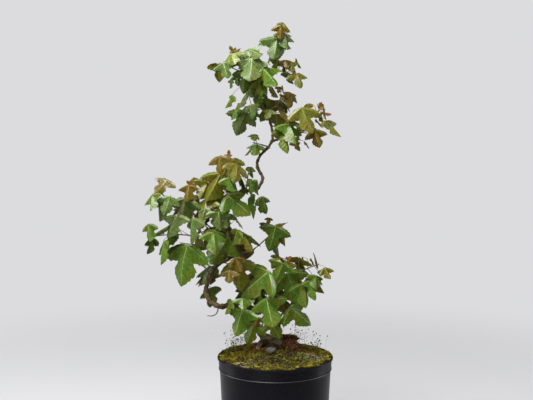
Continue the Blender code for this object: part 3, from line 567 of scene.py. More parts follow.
def grow_leaf(mass: Mass, node: Vector, radial: Vector, axis: Vector, age: float, draw: Draw) -> Leaf:
    """Grows a leaf, whose blade turns to the light.

    Args:
        mass: Its mass.
        node: Place on the stem.
        radial: Direction away from the stem.
        axis: The stem's direction.
        age: Its pair's place along the stem, over 1 at the tip.
        draw: Random numbers.

    Returns:
        The leaf.
    """
    young = age > 1
    size = YOUNG_LEAF_SIZE if young else 1 - TIP_LEAF_SHRINK * age
    petiole_size = YOUNG_PETIOLE_SIZE if young else 1 - TIP_PETIOLE_SHRINK * age
    length = mass.leaf * size * draw(*LEAF_SPREAD)
    petiole = mass.petiole * petiole_size * draw(*PETIOLE_SPREAD)
    out = radial + axis * draw(*PETIOLE_FORWARD) + UP * draw(*PETIOLE_RISE)
    base = node + out.normalized() * petiole
    heading = level(radial) * TO_SIDE + facing_of(mass.facing) * TO_LIGHT + level(axis) * TO_TIP
    heading = rotation(draw(-HEADING_TURN, HEADING_TURN), "Z") @ heading.normalized()
    hang = radians(draw(*(YOUNG_HANG if young else HANG)))
    midrib = heading * cos(hang) - UP * sin(hang)
    face = heading * sin(hang) + UP * cos(hang)
    roll = rotation(draw(-BLADE_ROLL, BLADE_ROLL), midrib)
    twist = rotation(draw(-BLADE_TWIST, BLADE_TWIST), face)
    midrib = twist @ midrib
    face = twist @ (roll @ face)
    face = (face - midrib * face.dot(midrib)).normalized()
    droop = draw(*DROOP)
    fold = draw(*(YOUNG_FOLD if young else FOLD))
    return Leaf(node, base - midrib * LEAF_SINK, midrib, face, length, droop, fold, age)


def turned_about(leaf: Leaf, axis: Vector, degrees: float) -> Leaf:
    """Returns a leaf swung about its stem."""
    turn = rotation(degrees, axis)
    return leaf._replace(base=leaf.node + turn @ (leaf.base - leaf.node), midrib=turn @ leaf.midrib,
                         face=turn @ leaf.face)


def petiole_path(leaf: Leaf, cut: float) -> Path:
    """Returns the petiole's straight path from the stem's bark into the blade."""
    path = [(leaf.node, PETIOLE_RADIUS), (leaf.base + leaf.midrib * LEAF_SINK, PETIOLE_RADIUS)]
    return trimmed(path, cut + PETIOLE_CLEAR)


@dataclass
class Spray:
    """A grown mass: its stem, and the leaves and finer twigs on it."""

    mass: Mass
    stem: Path
    leaves: list[Leaf] = field(default_factory=list)
    twigs: list[Path] = field(default_factory=list)

    def fitted(self, leaf: Leaf, cut: float, others: list[Shell], own: Sequence[Shell] = ()) -> list[Shell]:
        """Fits a leaf into the mass's space, clear of all that is there, and adds it.

        Args:
            leaf: The leaf.
            cut: Radius of the stem at its petiole.
            others: What fills the space round the mass.
            own: What the mass fills so far.

        Returns:
            What it fills, or nothing where it has no room.
        """
        petiole = petiole_path(leaf, cut)
        if (max(distance_outside(point, self.stem) for point in blade_points(leaf)) >= self.mass.room
                or blade_shell(leaf, GAP).meets([*others, *own]) or tube_shell(petiole, GAP).meets(others)):
            return []
        self.leaves.append(leaf)
        return [blade_shell(leaf), tube_shell(petiole)]


@dataclass
class Growth:
    """The tree grown by the source's rule, and its finer leaves."""

    paths: dict[str, Path] = field(default_factory=split_trunk)
    sprays: list[Spray] = field(default_factory=list)
    filled: list[Shell] = field(default_factory=list)
    fine_leaf: Span = (0.42, 0.62)
    fine_petiole: Span = (0.28, 0.5)
    least_leaf: float = 14
    least_petiole: float = 9
    twig_reach: Span = (0.32, 0.62)
    twig_radius: float = 0.5
    twig_tries: int = 14
    most_twigs: int = 3
    tuft_leaves: int = 7
    tuft_leaf: Span = (8, 13)

    def grow(self) -> None:
        """Grows limbs, stems, leaves and then finer leaves."""
        for bough in BOUGHS:
            path = smooth(bough.bends)
            self.paths[bough.name] = seated(path, self.paths[bough.host]) if bough.host else path
        limbs = list(self.paths.values()) + [smooth(root) for root in ROOTS]
        self.filled = [tube_shell(path, 0, LIMB_SIDES) for path in limbs]
        for x, y, low, foot_radius, high, top_radius in (
                (0, 0, 0, POT_LIP_RADIUS, POT_HEIGHT, POT_LIP_RADIUS),
                (MOUND_X, MOUND_Y, POT_HEIGHT, MOUND_FOOT_RADIUS - MOUND_SHOULDER,
                 MOUND_TOP, MOUND_FLAT_RADIUS + MOUND_SHOULDER / 2),
                (HEAP_X, HEAP_Y, MOUND_TOP, HEAP_FOOT_RADIUS, HEAP_TOP, HEAP_TOP_RADIUS)):
            space = [(Vector((x, y, low)), foot_radius), (Vector((x, y, high)), top_radius)]
            self.filled.append(tube_shell(space, 0, POT_SIDES))
        self.sprays = [Spray(mass, stem_of(mass, self.paths)) for mass in MASSES]
        stems = [tube_shell(spray.stem) for spray in self.sprays]
        for index, spray in enumerate(self.sprays):
            self.filled += self.grow_pairs(spray, self.filled + stems[:index] + stems[index + 1:])
        self.filled += stems
        for spray in self.sprays:
            if spray.mass.tuft:
                self.grow_tuft(spray)
        for spray in self.sprays:
            self.grow_finer(spray)

    def grow_pairs(self, spray: Spray, others: list[Shell]) -> list[Shell]:
        """Grows a mass's opposite pairs, each a quarter turn on.

        Args:
            spray: The mass's spray.
            others: What fills the space round the mass.

        Returns:
            What they fill.
        """
        mass = spray.mass
        draw = Draw(mass.seed)
        roll = draw(0, tau)
        own = [tube_shell(spray.stem)]
        ages = [index / (mass.pairs - 1) for index in range(mass.pairs)] if mass.pairs > 1 else [0.5]
        for index, age in enumerate(ages + [TUFT_AGE] * mass.tuft):
            share = TUFT_AT if age > 1 else FIRST_PAIR_AT + (LAST_PAIR_AT - FIRST_PAIR_AT) * age
            node, _, axis = place_at(spray.stem, share)
            for side in (1, -1):
                spread = roll + index * pi / 2 + draw(-PAIR_TWIST, PAIR_TWIST)
                leaf = grow_leaf(mass, node, spoke_of(axis, spread) * side, axis, age, draw)
                for attempt in range(TRIES):
                    swing = (attempt + 1) // 2 * SWING * (1 if attempt % 2 else -1)
                    added = spray.fitted(turned_about(leaf, axis, swing), STEM_ROOT_RADIUS, others, own)
                    own += added
                    if added:
                        break
        return own[1:]

    def grow_tuft(self, spray: Spray) -> None:
        """Grows the small, folded, upright leaves at a shoot's tip.

        Args:
            spray: The mass's spray.
        """
        draw = Draw(spray.mass.seed * 11 + 5)
        tip, _, axis = place_at(spray.stem, 1)
        rise = (axis * 0.5 + UP).normalized()
        side = rise.orthogonal().normalized()
        for index in range(self.tuft_leaves):
            turn = index * 2.4 + draw(-0.4, 0.4)
            out = side * cos(turn) + rise.cross(side) * sin(turn)
            base = tip + (rise * 0.5 + out * draw(0.4, 1)) * draw(2, 6)
            midrib = (rise + out * draw(0.15, 0.9)).normalized()
            face = (rise * 0.5 - out * 0.5 + facing_of(spray.mass.facing)).normalized()
            face = (face - midrib * face.dot(midrib)).normalized()
            length = draw(*self.tuft_leaf)
            leaf = Leaf(tip, base, midrib, face, length, -0.1, -draw(0.4, 0.75), TUFT_AGE)
            if not blade_shell(leaf, GAP).meets(self.filled):
                spray.leaves.append(leaf)
                self.filled.append(blade_shell(leaf))

    def grow_finer(self, spray: Spray) -> None:
        """Carries a mass on to side twigs with small opposite leaves.

        Args:
            spray: The mass's spray.
        """
        mass = spray.mass
        draw = Draw(mass.seed * 7 + mass.pairs)
        small = mass._replace(leaf=max(mass.leaf * draw(*self.fine_leaf), self.least_leaf),
                              petiole=max(mass.petiole * draw(*self.fine_petiole), self.least_petiole))
        for _ in range(self.twig_tries):
            if len(spray.twigs) == self.most_twigs:
                break
            node, _, axis = place_at(spray.stem, draw(0.25, 0.9))
            side = draw(0, tau)
            heading = spoke_of(axis, side) + axis * draw(0.3, 0.9) + UP * draw(0, 0.5)
            reach = mass.leaf * draw(*self.twig_reach)
            way = heading.normalized() * reach
            bend = UP * reach * draw(-0.12, 0.2)
            twig = [(node, self.twig_radius), (node + way * 0.55 + bend, self.twig_radius * 0.85),
                    (node + way, self.twig_radius * 0.7)]
            if tube_shell(trimmed(twig, STEM_ROOT_RADIUS + PETIOLE_CLEAR), GAP).meets(self.filled):
                continue
            before = len(spray.leaves)
            for pair, share in enumerate((0.5, 0.97)):
                tip, _, along = place_at(twig, share)
                out = spoke_of(along, side + pair * pi / 2)
                for way in (out, -out):
                    leaf = grow_leaf(small, tip, way, along, 0.4 + 0.5 * pair, draw)
                    self.filled += spray.fitted(leaf, self.twig_radius, self.filled)
            if len(spray.leaves) > before:
                spray.twigs.append(twig)
                self.filled.append(tube_shell(twig))


@lru_cache(maxsize=None)
def ball(fineness: int) -> tuple[list[Vector], Faces]:
    """Makes a ball of even triangles with a radius of 1.

    Args:
        fineness: How often it is divided.

    Returns:
        Its points and faces.
    """
    edit = bmesh.new()
    bmesh.ops.create_icosphere(edit, subdivisions=fineness, radius=1)
    points = [vert.co.copy() for vert in edit.verts]
    faces = [tuple(vert.index for vert in face.verts) for face in edit.faces]
    edit.free()
    return points, faces


@dataclass
class MeshParts:
    """Points and faces of one mesh, in millimetres."""

    points: list[Sequence] = field(default_factory=list)
    faces: Faces = field(default_factory=list)
    slots: list[int] = field(default_factory=list)

    def add(self, points: Sequence, *groups: tuple[Sequence, int | Sequence[int]]) -> None:
        """Adds points and the faces between them.

        Args:
            points: The points.
            *groups: Faces, with one material number for all or one for each.
        """
        for faces, slot in groups:
            self.faces += (np.array(faces) + len(self.points)).tolist()
            self.slots += np.broadcast_to(slot, len(faces)).tolist()
        self.points += (np.array([tuple(point) for point in points]) * MM).tolist()

    def tube(self, path: Path, sides: int, slot: int = 0) -> None:
        """Adds a closed round skin along a path, with domed ends.

        Args:
            path: The path.
            sides: Number of sides.
            slot: Material number.
        """
        ways = directions(path)
        (first, first_radius), (last, last_radius) = path[0], path[-1]
        back, ahead = -ways[0] * first_radius, ways[-1] * last_radius
        rows = [(first + back * 0.4, first_radius * 0.7), *path, (last + ahead * 0.4, last_radius * 0.7)]
        side = ways[0].orthogonal()
        points = []
        for (place, radius), along in zip(rows, [ways[0], *ways, ways[-1]]):
            side = (side - along * side.dot(along)).normalized()
            other = along.cross(side)
            for spoke in range(sides):
                angle = tau * spoke / sides
                points.append(place + (side * cos(angle) + other * sin(angle)) * radius)
        count = len(points)
        caps = [face[::-1] for face in fan(0, sides, count)] + fan(count - sides, sides, count + 1)
        points += [first + back * 0.55, last + ahead * 0.55]
        self.add(points, (hoop_faces(len(rows), sides), slot), (caps, slot))

    def grain(self, centre: Vector, size: float, draw: Draw, slot: int) -> None:
        """Adds a small angular grain.

        Args:
            centre: Its middle.
            size: Its half width.
            draw: Random numbers.
            slot: Material number.
        """
        points, faces = ball(1)
        stretch = Vector([draw(*span) for span in ((0.7, 1.2), (0.7, 1.2), (0.5, 0.9))]) * size
        turn = Matrix.Rotation(draw(0, tau), 3, "Z")
        rough = [centre + turn @ (point * stretch) * draw(0.78, 1.12) for point in points]
        self.add(rough, (faces, slot))

    def build(self, name: str, materials: Sequence[Material] = (),
              sharp_above: float = 60) -> Object:
        """Makes the mesh object.

        Args:
            name: The object's name.
            materials: Its materials.
            sharp_above: Least angle of a sharp edge.

        Returns:
            The object.
        """
        mesh = bpy.data.meshes.new(name)
        mesh.from_pydata(self.points, [], self.faces)
        mesh.polygons.foreach_set("material_index", self.slots)
        mesh.validate()
        return shown(mesh, name, materials, sharp_above)


def shown(shape: Mesh | bmesh.types.BMesh, name: str, materials: Sequence[Material] = (),
          sharp_above: float = 60) -> Object:
    """Puts a mesh into the scene.

    Args:
        shape: The mesh, or an edit, which ends here.
        name: The object's name.
        materials: Its materials.
        sharp_above: Least angle of a sharp edge.

    Returns:
        The object.
    """
    mesh = shape
    if isinstance(shape, bmesh.types.BMesh):
        mesh = bpy.data.meshes.new(name)
        shape.to_mesh(mesh)
        shape.free()
    if mesh.materials:
        mesh.materials.clear()
    for material in materials:
        mesh.materials.append(material)
    mesh.shade_smooth()
    mesh.set_sharp_from_angle(angle=radians(sharp_above))
    piece = bpy.data.objects.new(name, mesh)
    bpy.context.scene.collection.objects.link(piece)
    return piece


def mounted(piece: Object, nodes: Sequence[str] = ()) -> None:
    """Sets a piece on the frame and reports it.

    Args:
        piece: The finished piece.
        nodes: The nodes that it stands for.
    """
    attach(piece, BODY)
    if nodes:
        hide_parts(*nodes)
    LOG.info("%s: %d faces, stands for %d nodes", piece.name, len(piece.data.polygons), len(nodes))


def evaluated(piece: Object) -> Mesh:
    """Bakes a piece's modifiers and takes the piece away.

    Args:
        piece: The piece.

    Returns:
        Its mesh.
    """
    bpy.context.view_layer.update()
    mesh = bpy.data.meshes.new_from_object(piece.evaluated_get(bpy.context.evaluated_depsgraph_get()))
    bpy.data.objects.remove(piece)
    return mesh


def resampled(path: Path, step: float) -> Path:
    """Returns a path with rows at an even distance, in millimetres."""
    count = max(int(sum(lengths_of(path)) / step), 2)
    return [place_at(path, index / count)[:2] for index in range(count + 1)]


def wall_radius(height: float) -> float:
    """Returns the pot's outer radius at a height."""
    return POT_BASE_RADIUS + (POT_WALL_TOP_RADIUS - POT_BASE_RADIUS) * height / POT_HEIGHT


def ground_height(x: float, y: float) -> float:
    """Finds the ground's height, on a flat-topped mound with a lumpy edge.

    Args:
        x: Place to the right.
        y: Place to the back.

    Returns:
        The height.
    """
    off = hypot(x - MOUND_X, y - MOUND_Y)
    t = min(max((off - MOUND_FLAT_RADIUS) / (MOUND_FOOT_RADIUS - MOUND_FLAT_RADIUS), 0), 1)
    lumps = sin(x * 0.21 + 1.3) * sin(y * 0.17 + 0.4) + 0.5 * sin(x * 0.09 - y * 0.26)
    smooth_top = MOUND_TOP + (MOSS_EDGE_TOP - MOUND_TOP) * t * t * (3 - 2 * t)
    return smooth_top + MOSS_LUMP * lumps * min(t * 3, 1)


class NodeTree:
    """Adds nodes to one tree and joins them."""

    def __init__(self, tree: bpy.types.NodeTree) -> None:
        """Keeps the tree."""
        self.tree = tree

    def add(self, kind: str, values: dict[int | str, object] | None = None,
            **settings: object) -> bpy.types.Node:
        """Adds a node.

        Args:
            kind: The node's type.
            values: Sockets or plain values for its inputs.
            **settings: Its own settings.

        Returns:
            The node.
        """
        node = self.tree.nodes.new("ShaderNode" + kind)
        for key, setting in settings.items():
            setattr(node, key, setting)
        for key, value in (values or {}).items():
            socket = node.inputs[key]
            if isinstance(value, Socket):
                self.tree.links.new(value, socket)
            else:
                socket.default_value = (*value, 1) if socket.type == "RGBA" else value
        return node

    def math(self, operation: str, *values: object) -> Socket:
        """Returns the result of a calculation."""
        return self.add("Math", dict(enumerate(values)), operation=operation).outputs[0]

    def blend(self, first: Socket, weight: float, second: Socket, other_weight: float) -> Socket:
        """Returns the sum of two values, each times its weight."""
        parts = [self.math("MULTIPLY", *pair) for pair in ((first, weight), (second, other_weight))]
        return self.math("ADD", *parts)

    def mix(self, share: object, first: object, second: object, kind: str = "MIX") -> Socket:
        """Returns the colour between two, at a share of the second."""
        return self.add("Mix", {0: share, 6: first, 7: second}, data_type="RGBA", blend_type=kind).outputs[2]

    def ramp(self, value: object, low: float, high: float, start: object = 0, end: object = 1) -> Socket:
        """Returns a value carried from one range into another, with soft ends."""
        values = dict(enumerate((value, low, high, start, end)))
        return self.add("MapRange", values, interpolation_type="SMOOTHSTEP").outputs[0]

    def noise(self, places: Socket, scale: object, detail: float = 3) -> Socket:
        """Returns noise at places."""
        return self.add("TexNoise", {"Vector": places, "Scale": scale, "Detail": detail}).outputs["Fac"]

    def places(self, stretch: Colour | None = None) -> Socket:
        """Returns the places on the object, stretched along its axes."""
        values = {0: self.add("TexCoord").outputs["Object"], 1: stretch}
        return self.add("VectorMath", values, operation="MULTIPLY").outputs[0] if stretch else values[0]

    def rise(self) -> Socket:
        """Returns how far the surface faces up."""
        return self.add("SeparateXYZ", {0: self.add("NewGeometry").outputs["Normal"]}).outputs["Z"]


class Effect(NodeTree):
    """A shader effect that finishes share, as a node group built once."""

    inputs: dict[str, float | Colour]

    def __init__(self) -> None:
        """Builds the group: its inputs, its nodes and its outputs."""
        super().__init__(bpy.data.node_groups.new(type(self).__name__, "ShaderNodeTree"))
        for label, value in self.inputs.items():
            plain = not isinstance(value, tuple)
            self.socket(label, "INPUT", plain).default_value = value if plain else (*value, 1)
        self.given = self.tree.nodes.new("NodeGroupInput").outputs
        self.made: dict[str, Socket] = {}
        self.wire()
        for label, source in self.made.items():
            self.socket(label, "OUTPUT", source.type != "RGBA")
        end = self.tree.nodes.new("NodeGroupOutput")
        for label, source in self.made.items():
            self.tree.links.new(source, end.inputs[label])

    def socket(self, label: str, side: str, plain: bool) -> bpy.types.NodeTreeInterfaceSocket:
        """Returns a new input or output, for a plain value or a colour."""
        kind = "NodeSocketFloat" if plain else "NodeSocketColor"
        return self.tree.interface.new_socket(label, in_out=side, socket_type=kind)

    @classmethod
    @lru_cache(maxsize=None)
    def group(cls) -> bpy.types.NodeTree:
        """Returns the effect's group, which is built at its first use."""
        return cls().tree


class Patches(Effect):
    """Soft patches of tone."""

    inputs = {"Scale": 60}

    def wire(self) -> None:
        """Wires a mask of two sizes of noise."""
        places = self.places()
        large = self.noise(places, self.given["Scale"], 2)
        small = self.noise(places, self.math("MULTIPLY", self.given["Scale"], 5.3), 4)
        self.made = {"Mask": self.ramp(self.blend(large, 0.65, small, 0.35), 0.38, 0.62)}


class Grain(Effect):
    """Fine grain."""

    inputs = {"Scale": 900}

    def wire(self) -> None:
        """Wires a height of small cells over noise, and a mask."""
        places = self.places()
        fine = self.noise(places, self.given["Scale"], 5)
        cells = self.add("TexVoronoi", {"Vector": places, "Scale": self.given["Scale"]}).outputs["Distance"]
        self.made = {"Height": self.blend(fine, 0.6, cells, 0.4), "Mask": self.ramp(fine, 0.35, 0.65)}


class Dust(Effect):
    """What settles on upward faces."""

    inputs = {"Amount": 0.5, "Scale": 220}

    def wire(self) -> None:
        """Wires a broken mask."""
        upward = self.ramp(self.rise(), -0.1, 0.9, 0.25, 1)
        broken = self.ramp(self.noise(self.places(), self.given["Scale"], 4), 0.42, 0.72)
        settled = self.math("MULTIPLY", upward, broken)
        self.made = {"Mask": self.math("MULTIPLY", settled, self.given["Amount"])}


class Bark(Effect):
    """Bark, with cracks along the limb and pale flecks."""

    inputs = {"Dark": (0.05, 0.04, 0.03), "Light": (0.15, 0.13, 0.11), "Fleck": (0.3, 0.28, 0.24),
              "Crack": (0.02, 0.015, 0.01), "Scale": 520}

    def wire(self) -> None:
        """Wires its colour, height and roughness."""
        given = self.given
        wide = self.noise(self.places(), 95)
        streak = self.noise(self.places((1, 1, 0.38)), given["Scale"], 6)
        crack = self.ramp(self.math("ABSOLUTE", self.math("SUBTRACT", streak, 0.5)), 0, 0.05)
        fleck = self.noise(self.places(), self.math("MULTIPLY", given["Scale"], 1.7), 2)
        tone = self.mix(self.ramp(wide, 0.36, 0.64), given["Dark"], given["Light"])
        tone = self.mix(self.ramp(fleck, 0.6, 0.72, 0, 0.55), tone, given["Fleck"])
        self.made = {"Colour": self.mix(crack, given["Crack"], tone),
                     "Height": self.blend(crack, 0.7, streak, 0.6),
                     "Roughness": self.ramp(wide, 0.3, 0.7, 0.72, 0.92)}


class Blade(Effect):
    """A leaf's skin, mottled and netted with fine veins."""

    inputs = {"Tint": (0.08, 0.16, 0.04), "Second": (0.1, 0.19, 0.05), "Net": (0.2, 0.26, 0.12)}

    def wire(self) -> None:
        """Wires its colour, roughness and height, and the wax on upward faces."""
        places, given = self.places(), self.given
        wide = self.ramp(self.noise(places, 62, 2), 0.44, 0.6)
        small = self.ramp(self.noise(places, 330, 5), 0.36, 0.64)
        tone = self.mix(wide, given["Tint"], given["Second"])
        shade = self.mix(1, tone, (0.56, 0.62, 0.5), "MULTIPLY")
        net = self.add("TexVoronoi", {"Vector": places, "Scale": 1150}, feature="DISTANCE_TO_EDGE").outputs[0]
        colour = self.mix(self.ramp(net, 0, 0.12, 0.3, 0), self.mix(small, shade, tone), given["Net"])
        self.made = {"Colour": colour, "Roughness": self.ramp(small, 0, 1, 0.3, 0.42),
                     "Height": self.blend(self.ramp(net, 0, 0.12), 1, small, 0.5),
                     "Wax": self.ramp(self.rise(), 0.15, 0.85, 0, 0.8)}


def dimmed(colour: Colour, factor: float) -> Colour:
    """Returns a colour times a factor."""
    return tuple(channel * factor for channel in colour)


class Dressing(NodeTree):
    """A new material with its surface shader, ready for its nodes."""

    def __init__(self, name: str, roughness: float, gloss: float) -> None:
        """Makes the material.

        Args:
            name: Its name.
            roughness: Its plain roughness.
            gloss: Its plain gloss.
        """
        self.material = bpy.data.materials.new(name)
        self.material.use_nodes = True
        super().__init__(self.material.node_tree)
        self.surface = self.tree.nodes["Principled BSDF"].inputs
        self.surface["Roughness"].default_value = roughness
        self.surface["Specular IOR Level"].default_value = gloss

    def effect(self, effect: type[Effect], **values: object) -> dict[str, Socket]:
        """Returns the outputs of an effect whose inputs hold values."""
        return self.add("Group", values, node_tree=effect.group()).outputs

    def put(self, label: str, socket: Socket) -> None:
        """Joins a socket to the surface."""
        self.tree.links.new(socket, self.surface[label])

    def relief(self, height: Socket, depth: float) -> None:
        """Joins a height to the surface as relief, with its depth in millimetres."""
        bump = self.add("Bump", {"Strength": 1, "Distance": depth * MM, "Height": height})
        self.put("Normal", bump.outputs["Normal"])


@dataclass(frozen=True)
class Matte:
    """A matte natural surface in two tones, with grain and relief."""

    name: str
    dark: Colour
    light: Colour
    patch: float = 120
    grain: float = 900
    roughness: float = 0.85
    gloss: float = 0.3
    relief: float = 0.3

    def material(self) -> Material:
        """Makes the finish's material.

        Returns:
            The material.
        """
        look = Dressing(self.name, self.roughness, self.gloss)
        grain = look.effect(Grain, Scale=self.grain)
        tone = look.mix(look.effect(Patches, Scale=self.patch)["Mask"], self.dark, self.light)
        speck = look.ramp(grain["Mask"], 0, 0.5, 0.45, 0)
        look.put("Base Color", look.mix(speck, tone, dimmed(self.dark, 0.55)))
        look.relief(grain["Height"], self.relief)
        return look.material


@dataclass(frozen=True)
class BarkFinish:
    """Bark with cracks, flecks and a film of green or dust."""

    name: str
    dark: Colour
    light: Colour
    fleck: Colour
    film: Colour
    film_amount: float = 0.5
    scale: float = 520
    relief: float = 0.35
    gloss: float = 0.35

    def material(self) -> Material:
        """Makes the finish's material.

        Returns:
            The material.
        """
        look = Dressing(self.name, 0.8, self.gloss)
        bark = look.effect(Bark, Dark=self.dark, Light=self.light, Fleck=self.fleck,
                           Crack=dimmed(self.dark, 0.4), Scale=self.scale)
        film = look.effect(Dust, Amount=self.film_amount, Scale=140)["Mask"]
        look.put("Base Color", look.mix(film, bark["Colour"], self.film))
        look.put("Roughness", bark["Roughness"])
        look.relief(bark["Height"], self.relief)
        return look.material


@dataclass(frozen=True)
class PlasticFinish:
    """Satin black plastic with faint turning lines and dust."""

    name: str = "black_pot_plastic"
    tone: Colour = (0.003, 0.0029, 0.0052)
    dust: Colour = (0.085, 0.08, 0.075)
    gloss: float = 0.1

    def material(self) -> Material:
        """Makes the finish's material.

        Returns:
            The material.
        """
        look = Dressing(self.name, 0.34, self.gloss)
        lines = look.noise(look.places((0.05, 0.05, 1)), 900, 2)
        specks = look.effect(Dust, Amount=0.16, Scale=520)["Mask"]
        haze = look.effect(Dust, Amount=0.05, Scale=70)["Mask"]
        scratch = look.noise(look.places((1, 1, 6)), 160, 6)
        scratch = look.ramp(scratch, 0.7, 0.74, 0, 0.5)
        worn = look.math("MAXIMUM", look.math("MAXIMUM", specks, haze), scratch)
        look.put("Base Color", look.mix(worn, self.tone, self.dust))
        grain = look.effect(Grain, Scale=1500)
        rough = look.ramp(grain["Mask"], 0, 1, 0.3, 0.4)
        look.put("Roughness", look.ramp(worn, 0, 0.5, rough, 0.75))
        look.relief(look.blend(lines, 0.8, grain["Height"], 0.25), 0.05)
        return look.material


@dataclass(frozen=True)
class LeafFinish:
    """The tones of a leaf: its upper side, its underside and its veins."""

    name: str
    tint: Colour
    second: Colour
    under: Colour
    vein: Colour

    def materials(self) -> list[Material]:
        """Makes the materials of both sides and the veins.

        Returns:
            The three materials.
        """
        pale = tuple(0.5 * (a + b) for a, b in zip(self.under, self.second))
        made = []
        for side, tint, second, gloss, relief in (("upper", self.tint, self.second, 0.13, 0.11),
                                                  ("under", self.under, pale, 0.1, 0.06),
                                                  ("vein", self.vein, self.vein, 0.15, 0.02)):
            look = Dressing(f"{self.name}_{side}", 0.46, gloss)
            skin = look.effect(Blade, Tint=tint, Second=second, Net=self.vein)
            look.put("Base Color", skin["Colour"])
            look.put("Roughness", skin["Roughness"])
            look.relief(skin["Height"], relief)
            look.surface["Coat Roughness"].default_value = 0.34
            look.put("Coat Weight", skin["Wax"])
            made.append(look.material)
        return made


class Tint(Enum):
    """Leaf tints, from the shade inside the crown to the youngest shoots; the grey one is paler and partly
    paints the sheen of light on upward leaves.
    """

    DARK = LeafFinish("leaf_dark", (0.03, 0.084, 0.001), (0.064, 0.08, 0.001),
                      (0.09, 0.13, 0.02), (0.18, 0.25, 0.05))
    MID = LeafFinish("leaf_mid", (0.07, 0.162, 0.001), (0.116, 0.142, 0.001),
                     (0.115, 0.16, 0.025), (0.26, 0.33, 0.085))
    # Paler grey-green: the leaf's own tone with painted sheen, where light from above catches the upper side.
    GREY = LeafFinish("leaf_grey_sheen", (0.072, 0.134, 0.018), (0.108, 0.14, 0.028),
                      (0.12, 0.16, 0.034), (0.3, 0.37, 0.13))
    OLIVE = LeafFinish("leaf_olive", (0.112, 0.126, 0.001), (0.138, 0.11, 0.001),
                       (0.14, 0.14, 0.014), (0.31, 0.29, 0.05))
    BRONZE = LeafFinish("leaf_bronze", (0.124, 0.08, 0.001), (0.106, 0.098, 0.001),
                        (0.13, 0.095, 0.01), (0.32, 0.2, 0.04))
    RUST = LeafFinish("leaf_rust", (0.2, 0.062, 0.003), (0.22, 0.1, 0.004),
                      (0.2, 0.08, 0.01), (0.3, 0.12, 0.02))
    FRESH = LeafFinish("leaf_fresh", (0.11, 0.165, 0.004), (0.15, 0.175, 0.006),
                       (0.19, 0.225, 0.04), (0.33, 0.37, 0.08))


@dataclass
class NurseryPot:
    """The round black pot, with its rolled lip, raised line and drained floor, and a painted highlight on the
    raised line's upper faces.
    """

    segments: int = 144
    rib_pitch: float = 2.3
    rib_height: float = 0.34
    ripple: float = 0.05
    row_step: float = 0.38
    drain_holes: int = 6
    drain_radius: float = 5
    drain_ring: float = 42
    finish: PlasticFinish = PlasticFinish()
    # Lighter, glossier plastic for the upper faces of the raised line: a painted highlight along the bead,
    # with real gloss.
    painted_bead_highlight: PlasticFinish = PlasticFinish("bead_highlight_plastic", (0.03, 0.03, 0.036), gloss=0.6)

    def profile(self) -> list[Span]:
        """Draws the pot's section.

        Returns:
            Rows of radius and height, over the lip to the underside.
        """
        inner = wall_radius(POT_HEIGHT) - POT_WALL
        floor_edge = wall_radius(POT_FLOOR) - POT_WALL
        lip, lip_foot = POT_LIP_RADIUS, POT_HEIGHT - POT_LIP_DEPTH
        bead = POT_HEIGHT - POT_BEAD_DROP
        rows = [(0, POT_FLOOR), (30, POT_FLOOR), (55, POT_FLOOR), (floor_edge - 1, POT_FLOOR),
                (floor_edge, POT_FLOOR + 1), (inner - 2.5, POT_HEIGHT * 0.6), (inner, POT_HEIGHT - 0.9),
                (inner + 0.25, POT_HEIGHT - 0.25), (inner + 0.8, POT_HEIGHT), (lip - 0.8, POT_HEIGHT),
                (lip - 0.25, POT_HEIGHT - 0.2), (lip, POT_HEIGHT - 0.7), (lip, lip_foot + 0.6),
                (lip - 0.3, lip_foot + 0.1), (wall_radius(lip_foot) + 0.6, lip_foot)]
        height = lip_foot - 0.8
        while height > bead + POT_BEAD + 0.3:
            rib = self.rib_height * (0.5 + 0.5 * sin(tau * height / self.rib_pitch))
            rows.append((wall_radius(height) + 0.35 + rib, height))
            height -= self.row_step
        for share in range(9):
            angle = pi * share / 8
            out = POT_BEAD * 1.35 * sin(angle) + 0.4 * (1 - share / 8)
            rows.append((wall_radius(bead) + out, bead + POT_BEAD * cos(angle)))
        height = bead - POT_BEAD - 1.2
        while height > 2.4:
            rows.append((wall_radius(height) + self.ripple * sin(height * 0.9), height))
            height -= 2.2
        return rows + [(wall_radius(1.6), 1.6), (wall_radius(0) - 0.25, 0.6), (POT_BASE_RADIUS - 1.2, 0),
                       (58, 0), (56.5, 0.9), (30, 0.9), (0, 0.9)]

    def build(self) -> None:
        """Turns the section, drains the floor and dresses the pot."""
        edit = bmesh.new()
        rows = [edit.verts.new((radius * MM, 0, height * MM)) for radius, height in self.profile()]
        edges = [edit.edges.new(pair) for pair in zip(rows, rows[1:])]
        bmesh.ops.spin(edit, geom=rows + edges, cent=(0, 0, 0), axis=(0, 0, 1), dvec=(0, 0, 0),
                       angle=tau, steps=self.segments, use_duplicate=False)
        bmesh.ops.remove_doubles(edit, verts=edit.verts, dist=0.02 * MM)
        bmesh.ops.recalc_face_normals(edit, faces=edit.faces)
        pot = shown(edit, "pot_turned")
        edit = bmesh.new()
        radius = self.drain_radius * MM
        for index in range(self.drain_holes):
            place = polar(self.drain_ring * MM, tau * (index + 0.5) / self.drain_holes)
            bmesh.ops.create_cone(edit, cap_ends=True, segments=32, radius1=radius, radius2=radius,
                                  depth=4 * POT_FLOOR * MM, matrix=Matrix.Translation(place))
        cut = pot.modifiers.new("drain", "BOOLEAN")
        cut.operation = "DIFFERENCE"
        cut.solver = "EXACT"
        cutter = cut.object = shown(edit, "drain_cutter")
        piece = shown(evaluated(pot), "nursery_pot", [self.finish.material(), self.painted_bead_highlight.material()], 38)
        bpy.data.objects.remove(cutter)
        # The raised line's upward faces take the lighter plastic, which paints a highlight along the bead.
        for face in piece.data.polygons:
            over = face.center.z / MM - (POT_HEIGHT - POT_BEAD_DROP)
            face.material_index = int(-0.3 * POT_BEAD < over < 1.4 * POT_BEAD and face.normal.z > 0.05)
        mounted(piece, ["pot"])


